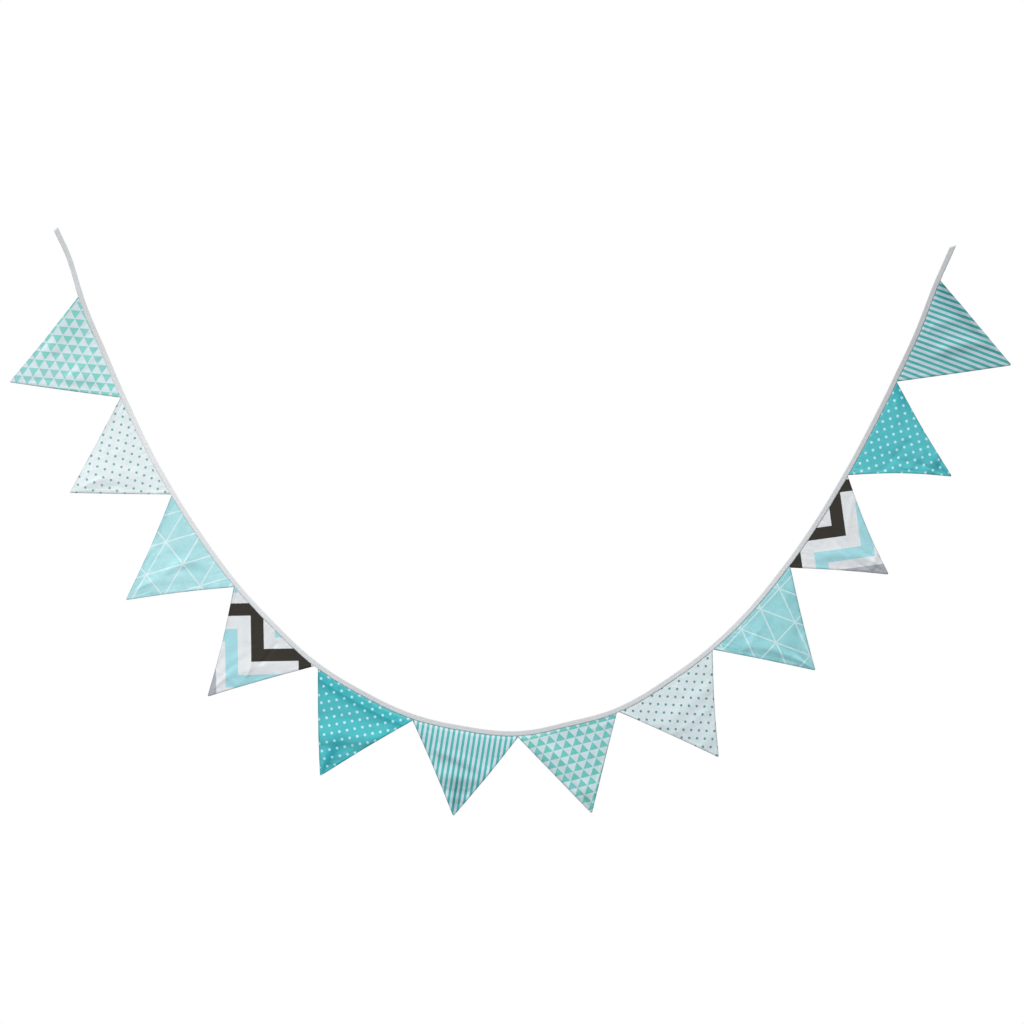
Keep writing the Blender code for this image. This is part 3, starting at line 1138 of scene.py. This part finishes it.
class Wire:
    """A value in a node tree that can stand in a formula."""

    def __init__(self, desk: Desk, socket: bpy.types.NodeSocket) -> None:
        """Keep the socket that gives the value."""
        self.desk = desk
        self.socket = socket

    def __add__(self, other: "Wire | float") -> "Wire":
        """Add."""
        return self.desk.calc("ADD", self, other)

    def __sub__(self, other: "Wire | float") -> "Wire":
        """Take away."""
        return self.desk.calc("SUBTRACT", self, other)

    def __rsub__(self, other: float) -> "Wire":
        """Take from a number."""
        return self.desk.calc("SUBTRACT", other, self)

    def __mul__(self, other: "Wire | float") -> "Wire":
        """Multiply."""
        return self.desk.calc("MULTIPLY", self, other)

    def __truediv__(self, other: "Wire | float") -> "Wire":
        """Divide."""
        return self.desk.calc("DIVIDE", self, other)

    def whole(self) -> "Wire":
        """The whole number below."""
        return self.desk.calc("FLOOR", self)

    def part(self) -> "Wire":
        """What is over the whole number."""
        return self.desk.calc("FRACT", self)

    def size(self) -> "Wire":
        """The value without its sign."""
        return self.desk.calc("ABSOLUTE", self)

    def off_whole(self) -> "Wire":
        """Distance to the nearest whole number."""
        return ((self + 0.5).part() - 0.5).size()

    def least(self, other: "Wire | float") -> "Wire":
        """The smaller of two values."""
        return self.desk.calc("MINIMUM", self, other)

    def most(self, other: "Wire | float") -> "Wire":
        """The larger of two values."""
        return self.desk.calc("MAXIMUM", self, other)

    def sine(self) -> "Wire":
        """The sine, of radians."""
        return self.desk.calc("SINE", self)

    def rise(self, start: "Wire | float", end: "Wire | float") -> "Wire":
        """Go softly from 0 to 1 between two values."""
        fed = {"Value": self, "From Min": start, "From Max": end}
        return self.desk.wire("ShaderNodeMapRange", fed, interpolation_type="SMOOTHSTEP")

    def beyond(self, limit: "Wire | float", soft: "Wire | float") -> "Wire":
        """1 where the value is over a limit and 0 where it is under it, with a soft step."""
        return self.rise(limit - soft, limit + soft)

    def within(self, limit: "Wire | float", soft: "Wire | float") -> "Wire":
        """1 where the value is under a limit and 0 where it is over it, with a soft step."""
        return 1.0 - self.beyond(limit, soft)


def as_light(level: float) -> float:
    """Turn a channel from 0 to 255 into an amount of light, by the standard curve of screens."""
    share = level / 255.0
    return ((share + 0.055) / 1.055) ** 2.4 if share > 0.04 else share / 12.92


@dataclass(frozen=True)
class Tint:
    """A colour as a dyer's card shows it, each channel from 0 to 255."""

    red: float
    green: float
    blue: float

    @property
    def linear(self) -> tuple[float, float, float, float]:
        """The colour as light, with full cover."""
        return as_light(self.red), as_light(self.green), as_light(self.blue), 1.0


class Effect(ABC):
    """A shader node group with named inputs and outputs, built once for all finishes that use it."""

    name: ClassVar[str]
    inputs: ClassVar[dict[str, float | tuple[float, float, float]]]
    outputs: ClassVar[tuple[str, ...]]

    @abstractmethod
    def formulas(self, desk: Desk, given: dict[str, Wire]) -> dict[str, Wire]:
        """Work out the outputs.

        Args:
            desk: the group's node tree.
            given: the inputs by name.

        Returns:
            The outputs by name.
        """

    def tree(self) -> bpy.types.NodeTree:
        """Find the group, or build it the first time.

        Returns:
            The group's node tree.
        """
        known = bpy.data.node_groups.get(self.name)
        if known:
            return known
        tree = bpy.data.node_groups.new(self.name, "ShaderNodeTree")
        for name, value in self.inputs.items():
            kind = "NodeSocketVector" if isinstance(value, tuple) else "NodeSocketFloat"
            tree.interface.new_socket(name=name, in_out="INPUT", socket_type=kind).default_value = value
        for name in self.outputs:
            tree.interface.new_socket(name=name, in_out="OUTPUT", socket_type="NodeSocketFloat")
        desk = Desk(tree)
        source, target = desk.node("NodeGroupInput"), desk.node("NodeGroupOutput")
        given = {name: Wire(desk, source.outputs[name]) for name in self.inputs}
        for name, value in self.formulas(desk, given).items():
            desk.feed(target.inputs[name], value)
        return tree

    def put(self, desk: Desk, **values: Wire | float) -> dict[str, Wire]:
        """Place the group in a finish.

        Args:
            desk: the finish's node tree.
            values: the inputs by name, in small letters with underscores.

        Returns:
            The outputs by name.
        """
        made = desk.node("ShaderNodeGroup", node_tree=self.tree())
        for name, value in values.items():
            desk.feed(made.inputs[name.replace("_", " ").title()], value)
        return {name: Wire(desk, made.outputs[name]) for name in self.outputs}


class Weave(Effect):
    """Plain weave: each thread goes over one and under the next, and some threads are thicker."""

    name = "plain weave"
    inputs = {"Place": (0.0, 0.0, 0.0), "Thread": 0.42, "Unevenness": 0.5}
    outputs = ("Height", "Slub")
    lift: ClassVar[float] = 0.7
    wander: ClassVar[float] = 1.6
    wander_waves: ClassVar[float] = 0.12
    slub_waves: ClassVar[tuple[float, float]] = (1.7, 0.05)
    slub_height: ClassVar[float] = 1.6

    def thread(self, across: Wire, along: Wire) -> Wire:
        """Shape one set of threads.

        Args:
            across: places square to the threads, counted in threads.
            along: places along them.

        Returns:
            Their height, rounded across and going up and down along.
        """
        rounded = (across * math.pi).sine().size()
        lifted = ((along + across.whole()) * math.pi).sine() * 0.5 + 0.5
        return rounded * (lifted * self.lift + (1.0 - self.lift))

    def formulas(self, desk: Desk, given: dict[str, Wire]) -> dict[str, Wire]:
        """Work out the threads' height and the uneven threads.

        Args:
            desk: the group's node tree.
            given: the inputs by name.

        Returns:
            The outputs by name.
        """
        x, y = desk.split(given["Place"])
        broad = desk.noise(x * self.wander_waves, y * self.wander_waves, layer=2.0, detail=1.0)
        warp = x / given["Thread"] + broad * self.wander
        weft = y / given["Thread"] + broad * self.wander
        over = self.thread(warp, weft).most(self.thread(weft, warp + 1.0))
        across, along = self.slub_waves
        thick_warp = desk.noise(x * across, y * along)
        thick_weft = desk.noise(x * along, y * across, layer=7.0)
        slub = (thick_warp + thick_weft - 1.0) * given["Unevenness"]
        return {"Height": over + slub * self.slub_height, "Slub": slub}


class Wear(Effect):
    """Soft unevenness of washed and handled cotton: broad mottling and faint crinkles."""

    name = "soft wear"
    inputs = {"Place": (0.0, 0.0, 0.0), "Breadth": 28.0}
    outputs = ("Mottle", "Crinkle")
    crinkle_breadth: ClassVar[float] = 9.0
    bend: ClassVar[float] = 3.0
    sharpness: ClassVar[float] = 7.0

    def formulas(self, desk: Desk, given: dict[str, Wire]) -> dict[str, Wire]:
        """Work out broad mottling round 0 and crinkles from 0 to 1.

        Args:
            desk: the group's node tree.
            given: the inputs by name.

        Returns:
            The outputs by name.
        """
        x, y = desk.split(given["Place"])
        broad = desk.noise(x / given["Breadth"], y / given["Breadth"], layer=3.0, detail=3.0) - 0.5
        bent_x = x / self.crinkle_breadth + broad * self.bend
        bent_y = y / self.crinkle_breadth - broad * self.bend
        ridges = desk.noise(bent_x, bent_y, layer=5.0) - 0.5
        return {"Mottle": broad * 2.0, "Crinkle": 1.0 - (ridges.size() * self.sharpness).least(1.0)}


class Seams(Effect):
    """The turned edges: a darker line at the rim, painted shade where the rounded fold turns from the
    light, and the seam turnings that show through.
    """

    name = "turned seams"
    inputs = {"Sides": (0.0, 0.0, 0.0), "Turning": 5.6, "Rim": 3.4}
    outputs = ("Rim", "Turning")
    breadth: ClassVar[float] = 38.0
    faintest: ClassVar[float] = 0.3
    faint_edges: ClassVar[tuple[float, float]] = (0.3, 0.7)
    rim_start: ClassVar[float] = 0.3
    step: ClassVar[float] = 1.2

    def formulas(self, desk: Desk, given: dict[str, Wire]) -> dict[str, Wire]:
        """Work out masks of the rim and of the turning.

        Args:
            desk: the group's node tree.
            given: the inputs by name.

        Returns:
            The outputs by name.
        """
        left, right = desk.split(given["Sides"])
        near = left.least(right)
        along = desk.noise(left / self.breadth, right / self.breadth, layer=4.0)
        along = along.rise(*self.faint_edges)
        rim = 1.0 - near.rise(given["Rim"] * self.rim_start, given["Rim"])
        turning = 1.0 - near.rise(given["Turning"], given["Turning"] + self.step)
        return {"Rim": rim * (along * (1.0 - self.faintest) + self.faintest), "Turning": turning}


class PrintedShapes(Effect):
    """Shapes printed on cotton, whose edges waver a little as printed ink does on thread.

    The waves of an edge are counted for each millimetre along the print's two directions.
    """

    outputs = ("Ink",)
    edge_waves: ClassVar[tuple[float, float]]
    edge_play: ClassVar[float]
    edge_detail: ClassVar[float] = 2.0

    def waver(self, desk: Desk, x: Wire, y: Wire) -> Wire:
        """How far an edge is off its place, in millimetres."""
        waves_x, waves_y = self.edge_waves
        return (desk.noise(x * waves_x, y * waves_y, detail=self.edge_detail) - 0.5) * self.edge_play


class SpotRows(PrintedShapes):
    """Round spots in slanted rows."""

    name = "rows of spots"
    inputs = {
        "Place": (0.0, 0.0, 0.0), "Pitch": 15.0, "Row": 15.0, "Slant": 2.5, "Radius": 2.4, "Soft": 0.4
    }
    edge_waves = (0.9, 0.9)
    edge_play = 0.9
    edge_detail = 1.0

    def formulas(self, desk: Desk, given: dict[str, Wire]) -> dict[str, Wire]:
        """Work out the spots' mask.

        Args:
            desk: the group's node tree.
            given: the inputs by name.

        Returns:
            The outputs by name.
        """
        x, y = desk.split(given["Place"])
        row = (y / given["Row"] + 0.5).whole()
        off_y = y - row * given["Row"]
        along = (x - row * given["Slant"]) / given["Pitch"]
        off_x = along.off_whole() * given["Pitch"]
        away = desk.calc("SQRT", off_x * off_x + off_y * off_y)
        away = away + self.waver(desk, x, y)
        return {"Ink": away.within(given["Radius"], given["Soft"])}


class TriangleRows(PrintedShapes):
    """Rows of triangles that stand side by side, each row half a step on from the last."""

    name = "rows of triangles"
    inputs = {"Place": (0.0, 0.0, 0.0), "Side": 19.5, "Row": 16.1, "Gap": 0.22, "Soft": 0.4}
    outputs = ("Ink", "Dye")
    edge_waves = (0.8, 0.8)
    edge_play = 0.5
    edge_detail = 1.0
    half_height: ClassVar[float] = 0.433

    def formulas(self, desk: Desk, given: dict[str, Wire]) -> dict[str, Wire]:
        """Work out the triangles' mask and how strong the dye is in each.

        Args:
            desk: the group's node tree.
            given: the inputs by name.

        Returns:
            The outputs by name.
        """
        x, y = desk.split(given["Place"])
        row = (y / given["Row"]).whole()
        up = (y / given["Row"]).part()
        along = x / given["Side"] + row * 0.5 + 0.5
        from_base = up * given["Row"]
        from_sides = (1.0 - up - (along.part() - 0.5).size() * 2.0) * given["Side"] * self.half_height
        inside = from_base.least(from_sides) + self.waver(desk, x, y)
        return {"Ink": inside.beyond(given["Gap"], given["Soft"]), "Dye": desk.cell(along.whole(), row)}


class CrossingLines(PrintedShapes):
    """Three sets of thin lines that meet in points, as a lattice of triangles."""

    name = "crossing lines"
    inputs = {"Place": (0.0, 0.0, 0.0), "Width": 52.8, "Row": 66.2, "Line": 2.6, "Soft": 0.35}
    edge_waves = (0.35, 0.35)
    edge_play = 0.8

    def formulas(self, desk: Desk, given: dict[str, Wire]) -> dict[str, Wire]:
        """Work out the lines' mask.

        Args:
            desk: the group's node tree.
            given: the inputs by name.

        Returns:
            The outputs by name.
        """
        x, y = desk.split(given["Place"])
        half = given["Width"] / 2.0
        slant = given["Row"] / desk.calc("SQRT", given["Row"] * given["Row"] + half * half) * given["Width"]
        level = (y / given["Row"]).off_whole() * given["Row"]
        rising = (x / given["Width"] - y / given["Row"] * 0.5).off_whole() * slant
        falling = (x / given["Width"] + y / given["Row"] * 0.5).off_whole() * slant
        away = level.least(rising).least(falling) + self.waver(desk, x, y)
        return {"Ink": away.within(given["Line"] / 2.0, given["Soft"])}


class Stripes(PrintedShapes):
    """Straight stripes of one width."""

    name = "even stripes"
    inputs = {"Place": (0.0, 0.0, 0.0), "Period": 10.2, "Share": 0.48, "Soft": 0.35}
    edge_waves = (0.5, 0.25)
    edge_play = 0.7

    def formulas(self, desk: Desk, given: dict[str, Wire]) -> dict[str, Wire]:
        """Work out the stripes' mask.

        Args:
            desk: the group's node tree.
            given: the inputs by name.

        Returns:
            The outputs by name.
        """
        x, y = desk.split(given["Place"])
        away = (x / given["Period"]).off_whole() * given["Period"] + self.waver(desk, x, y)
        return {"Ink": away.within(given["Period"] * given["Share"] * 0.5, given["Soft"])}


class StairBands(PrintedShapes):
    """Measures how far a place lies past a staircase line, square to its treads and risers."""

    name = "stair bands"
    inputs = {"Place": (0.0, 0.0, 0.0), "Tread": 88.4}
    outputs = ("Past",)
    edge_waves = (0.3, 0.3)
    edge_play = 0.7

    def formulas(self, desk: Desk, given: dict[str, Wire]) -> dict[str, Wire]:
        """Work out the distance past the line that runs through the print's origin.

        Args:
            desk: the group's node tree.
            given: the inputs by name.

        Returns:
            The outputs by name.
        """
        x, y = desk.split(given["Place"])
        along = ((x - y) / (given["Tread"] * 2.0)).off_whole() * given["Tread"]
        return {"Past": (x + y) * -0.5 - along + self.waver(desk, x, y)}


def new_material(name: str) -> tuple[bpy.types.Material, Desk, bpy.types.Node]:
    """Start a material that isn't metal.

    Args:
        name: a plain name for it.

    Returns:
        The material, its node tree and its shader.
    """
    material = bpy.data.materials.new(name)
    material.use_nodes = True
    shader = material.node_tree.nodes["Principled BSDF"]
    shader.inputs["Metallic"].default_value = 0.0
    return material, Desk(material.node_tree), shader


@dataclass(frozen=True)
class Cotton:
    """Woven cotton, and what every cloth of the bunting has in common."""

    ground: Tint
    roughness: float = 0.86
    roughness_change: float = 0.05
    specular: float = 0.25
    sheen: float = 0.10
    sheen_roughness: float = 0.6
    thread: float = 0.42
    # Share of the painted light and shade that also brightens or darkens the colour, besides deepening it
    painted_light_darkening: float = 0.45
    slub_shade: float = 0.10
    mottling: float = 0.05
    # Painted shade along the turned rims, lighter rims as painted light below 0
    rim_painted_shade: float = 0.42
    turning_shade: float = 0.02
    bump: float = 0.10
    crinkles: float = 1.2
    place_map: str = PRINT_MAP

    def colour(self, desk: Desk, place: Wire) -> Wire:
        """The cloth's plain or printed colour."""
        return desk.plain(self.ground)

    def material(self, name: str) -> bpy.types.Material:
        """Make the cloth's material.

        Args:
            name: a plain name for it.

        Returns:
            A material whose colour, roughness and bump follow the weave and the print, with light and shade
            painted into its colour.
        """
        material, desk, shader = new_material(name)
        place = desk.uv(self.place_map)
        weave = Weave().put(desk, place=place, thread=self.thread)
        wear = Wear().put(desk, place=place)
        seams = Seams().put(desk, sides=desk.uv(SIDES_MAP))
        light = weave["Slub"] * self.slub_shade + wear["Mottle"] * self.mottling + 1.0
        # Painted shade at the pennants' rims, where their rounded folds turn from the light; painted light
        # on the tape's rims
        light = light - seams["Rim"] * self.rim_painted_shade - seams["Turning"] * self.turning_shade
        # Painted light and shade: whole pennants, patches where folds fall into shade, the strip under the
        # tape and stretches of tape made paler or deeper
        painted_colour = desk.paint_light_and_shade(self.colour(desk, place), desk.value(PAINTED_LIGHT_ATTRIBUTE), self.painted_light_darkening)
        desk.feed(shader.inputs["Base Color"], desk.shade(painted_colour, light))
        desk.feed(shader.inputs["Roughness"], wear["Mottle"] * self.roughness_change + self.roughness)
        desk.feed(shader.inputs["Specular IOR Level"], self.specular)
        desk.feed(shader.inputs["Sheen Weight"], self.sheen)
        desk.feed(shader.inputs["Sheen Roughness"], self.sheen_roughness)
        desk.raise_surface(shader, weave["Height"] + wear["Crinkle"] * self.crinkles, self.bump)
        return material


@dataclass(frozen=True)
class SpottedCotton(Cotton):
    """Cotton with small round spots."""

    ink: Tint = Tint(112, 172, 167)
    pitch: float = 15.0
    row: float = 15.16
    slant: float = 2.7
    radius: float = 2.35
    soft: float = 0.45

    def colour(self, desk: Desk, place: Wire) -> Wire:
        """Give the ground with spots.

        Args:
            desk: the finish's node tree.
            place: places on the print.

        Returns:
            The colour.
        """
        spots = SpotRows().put(
            desk,
            place=place,
            pitch=self.pitch,
            row=self.row,
            slant=self.slant,
            radius=self.radius,
            soft=self.soft,
        )
        return desk.blend(spots["Ink"], self.ground, self.ink)


@dataclass(frozen=True)
class TriangleCotton(Cotton):
    """Cotton with rows of triangles, whose ink took unevenly."""

    ink: Tint = Tint(134, 220, 206)
    faint_ink: Tint = Tint(148, 216, 217)
    side: float = 19.5
    row: float = 16.1

    def colour(self, desk: Desk, place: Wire) -> Wire:
        """Ground with triangles."""
        rows = TriangleRows().put(desk, place=place, side=self.side, row=self.row)
        return desk.blend(rows["Ink"], self.ground, desk.blend(rows["Dye"], self.ink, self.faint_ink))


@dataclass(frozen=True)
class LatticeCotton(Cotton):
    """Dyed cotton with a lattice of pale lines."""

    line: Tint = Tint(222, 243, 247)
    line_cover: float = 0.85
    cloud: Tint = Tint(160, 217, 222)
    cloud_breadth: float = 34.0
    cloud_edges: tuple[float, float] = (0.38, 0.68)
    width: float = 52.8
    row: float = 66.2

    def colour(self, desk: Desk, place: Wire) -> Wire:
        """Give the clouded ground with lines.

        Args:
            desk: the finish's node tree.
            place: places on the print.

        Returns:
            The colour.
        """
        x, y = desk.split(place)
        cloudy = desk.noise(x / self.cloud_breadth, y / self.cloud_breadth, layer=11.0, detail=3.0)
        ground = desk.blend(cloudy.rise(*self.cloud_edges), self.ground, self.cloud)
        lines = CrossingLines().put(desk, place=place, width=self.width, row=self.row)
        return desk.blend(lines["Ink"] * self.line_cover, ground, self.line)


@dataclass(frozen=True)
class StripedCotton(Cotton):
    """Cotton with even stripes."""

    ink: Tint = Tint(84, 185, 181)
    period: float = 10.2
    share: float = 0.48

    def colour(self, desk: Desk, place: Wire) -> Wire:
        """Ground with stripes."""
        stripes = Stripes().put(desk, place=place, period=self.period, share=self.share)
        return desk.blend(stripes["Ink"], self.ground, self.ink)


@dataclass(frozen=True)
class Band:
    """One coloured band beside the staircase line."""

    start: float
    end: float
    tint: Tint


@dataclass(frozen=True)
class StepCotton(Cotton):
    """Cotton with bold stair-shaped bands."""

    tread: float = 88.4
    soft: float = 0.35
    bands: tuple[Band, ...] = (
        Band(-44.5, -20.7, Tint(164, 217, 226)),
        Band(0.0, 24.0, Tint(50, 46, 39)),
        Band(49.0, 72.7, Tint(164, 217, 226)),
        Band(90.6, 114.5, Tint(172, 177, 184)),
    )

    def colour(self, desk: Desk, place: Wire) -> Wire:
        """Give the ground with bands.

        Args:
            desk: the finish's node tree.
            place: places on the print.

        Returns:
            The colour.
        """
        past = StairBands().put(desk, place=place, tread=self.tread)["Past"]
        colour = desk.plain(self.ground)
        for band in self.bands:
            inside = past.beyond(band.start, self.soft) - past.beyond(band.end, self.soft)
            colour = desk.blend(inside, colour, band.tint)
        return colour


@dataclass(frozen=True)
class Thread:
    """Spun cotton thread."""

    tint: Tint = Tint(226, 229, 230)
    roughness: float = 0.6
    roughness_change: float = 0.1
    twist: float = 0.55
    twist_slant: float = 0.6
    twist_depth: float = 0.05
    wear_breadth: float = 6.0
    wear: float = 0.16
    darkest: float = 0.88

    def material(self, name: str) -> bpy.types.Material:
        """Make the thread's material.

        Args:
            name: a plain name for it.

        Returns:
            A material with the thread's twist as fine slanted lines.
        """
        material, desk, shader = new_material(name)
        x, y = desk.split(desk.wire("ShaderNodeTexCoord", {}, "Object"))
        ply = ((x + y * self.twist_slant) / self.twist * math.tau).sine() * 0.5 + 0.5
        worn = desk.noise(x / self.wear_breadth, y / self.wear_breadth) * self.wear + self.darkest
        desk.feed(shader.inputs["Base Color"], desk.shade(desk.plain(self.tint), worn))
        desk.feed(shader.inputs["Roughness"], ply * self.roughness_change + self.roughness)
        desk.raise_surface(shader, ply, self.twist_depth)
        return material


@dataclass(frozen=True)
class Finishes:
    """The cloths of this bunting."""

    # The tape's rims get painted light, which lifts the dark line of shadow under the tape
    tape: Cotton = Cotton(Tint(214, 217, 219), place_map=STRIP_MAP, rim_painted_shade=-0.10, mottling=0.03)
    thread: Thread = Thread()

    def prints(self) -> Iterator[tuple[Print, Cotton]]:
        """Give each print with its cotton.

        Yields:
            The print and what it is made of.
        """
        yield Print.MINT_TRIANGLES, TriangleCotton(Tint(222, 238, 243))
        yield Print.TEAL_SPOTS, SpottedCotton(Tint(230, 241, 244))
        yield Print.BLUE_LATTICE, LatticeCotton(Tint(173, 227, 232))
        yield Print.STEPS, StepCotton(Tint(226, 230, 233))
        yield Print.WHITE_SPOTS, SpottedCotton(
            Tint(82, 191, 198),
            # Its painted shade deepens the teal more than it darkens it
            painted_light_darkening=0.12,
            ink=Tint(196, 236, 250),
            pitch=15.1,
            row=14.78,
            slant=2.1,
            radius=2.55,
            soft=0.7,
        )
        yield Print.MINT_STRIPES, StripedCotton(Tint(204, 222, 232))


@dataclass(frozen=True)
class Lamp:
    """A broad soft light far away, and the direction that it comes from."""

    name: str
    strength: float
    comes_from: tuple[float, float, float]


@dataclass
class Studio:
    """Plain pale floor, soft light and the camera, straight in front of the bunting."""

    image_side: float = 1024.0
    scale: float = 1.9
    tape_end: tuple[float, float] = (57.5, 226.5)
    lens: float = 100.0
    sensor: float = 36.0
    floor_drop: float = 0.70
    floor_reach: tuple[float, float] = (1.9, 1.3)
    floor_tint: Tint = Tint(214, 215, 216)
    floor_roughness: float = 0.9
    sky: float = 0.17
    softness: float = 40.0
    lamps: tuple[Lamp, ...] = (
        Lamp("key_light", 4.1, (-0.20, -0.52, 0.83)),
        Lamp("back_light", 1.7, (0.30, 0.85, 0.43)),
    )

    def camera(self) -> None:
        """Look level along +Y, with the frame as wide as the photograph's at the bunting."""
        data = bpy.data.cameras.new("camera")
        data.lens = self.lens
        data.sensor_width = self.sensor
        camera = put_in_scene("camera", data)
        across = (self.image_side / 2.0 - self.tape_end[0]) * self.scale * MM
        up = (self.tape_end[1] - self.image_side / 2.0) * self.scale * MM
        away = self.image_side * self.scale * MM * self.lens / self.sensor
        camera.location = (across, -away, up)
        camera.rotation_euler = (math.pi / 2.0, 0.0, 0.0)
        bpy.context.scene.camera = camera

    def floor(self) -> None:
        """Lay a pale floor below the bunting."""
        low, high = CAD_BOX
        middle = (low + high) / 2.0
        board = bmesh.new()
        size = Matrix.Diagonal((self.floor_reach[0], self.floor_reach[1], 1.0, 1.0))
        centre = Matrix.Translation((middle.x, middle.y, low.z - self.floor_drop))
        bmesh.ops.create_grid(board, x_segments=1, y_segments=1, size=1.0, matrix=centre @ size)
        material, desk, shader = new_material("floor_paint")
        desk.feed(shader.inputs["Base Color"], self.floor_tint)
        desk.feed(shader.inputs["Roughness"], self.floor_roughness)
        finished_object("floor", mesh_from("floor", board), material)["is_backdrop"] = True

    def light(self) -> None:
        """Light the room evenly, with a broad soft light from above the viewer and one from behind."""
        world = bpy.data.worlds.new("studio")
        bpy.context.scene.world = world
        world.use_nodes = True
        desk = Desk(world.node_tree)
        surface = world.node_tree.nodes["Background"]
        surface.inputs["Color"].default_value = (1.0, 1.0, 1.0, 1.0)
        seen = Wire(desk, desk.node("ShaderNodeLightPath").outputs["Is Camera Ray"])
        desk.feed(surface.inputs["Strength"], seen * (1.0 - self.sky) + self.sky)
        for lamp in self.lamps:
            data = bpy.data.lights.new(lamp.name, "SUN")
            data.energy = lamp.strength
            data.angle = math.radians(self.softness)
            light = put_in_scene(lamp.name, data)
            light.rotation_euler = Vector(lamp.comes_from).to_track_quat("Z", "Y").to_euler()

    def build(self) -> None:
        """Set up the whole studio."""
        self.camera()
        self.floor()
        self.light()
        view = bpy.context.scene.view_settings
        view.view_transform = "Standard"
        view.look = "None"


def report(piece: bpy.types.Object) -> None:
    """Log one piece with the size of its mesh."""
    points, faces = len(piece.data.vertices), len(piece.data.polygons)
    log.info("%s: %d points, %d faces before its thickness", piece.name, points, faces)


def write_sizes() -> None:
    """Work out the solids' box and the box of what shows, as plain lists."""
    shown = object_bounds()
    boxes = [[list(corner) for corner in box] for box in (CAD_BOX, shown)]


def main() -> None:
    """Build the studio, the tape with its stitching and the twelve pennants."""
    logging.basicConfig(level=logging.INFO, format="%(name)s: %(message)s")
    Studio().build()
    finishes = Finishes()
    path = TapePath()
    folded = FoldedTape()
    tape = folded.build(path, finishes.tape.material("tape_cotton"))
    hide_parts("tape")
    stitching = Stitching().build(path, folded, finishes.thread.material("thread"))
    for piece in (tape, stitching):
        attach(piece, BODY)
        report(piece)
    cloths = {kind: cotton.material(kind.value + "_cotton") for kind, cotton in finishes.prints()}
    for number in range(1, len(PENNANTS) + 1):
        pennant = Pennant(number, path)
        piece = pennant.build(cloths[pennant.cut.print])
        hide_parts(pennant.name)
        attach(piece, BODY)
        width, length = pennant.flat_size
        area = width * length * pennant.area_share
        report(piece)
    write_sizes()


if __name__ == "__main__":
    main()
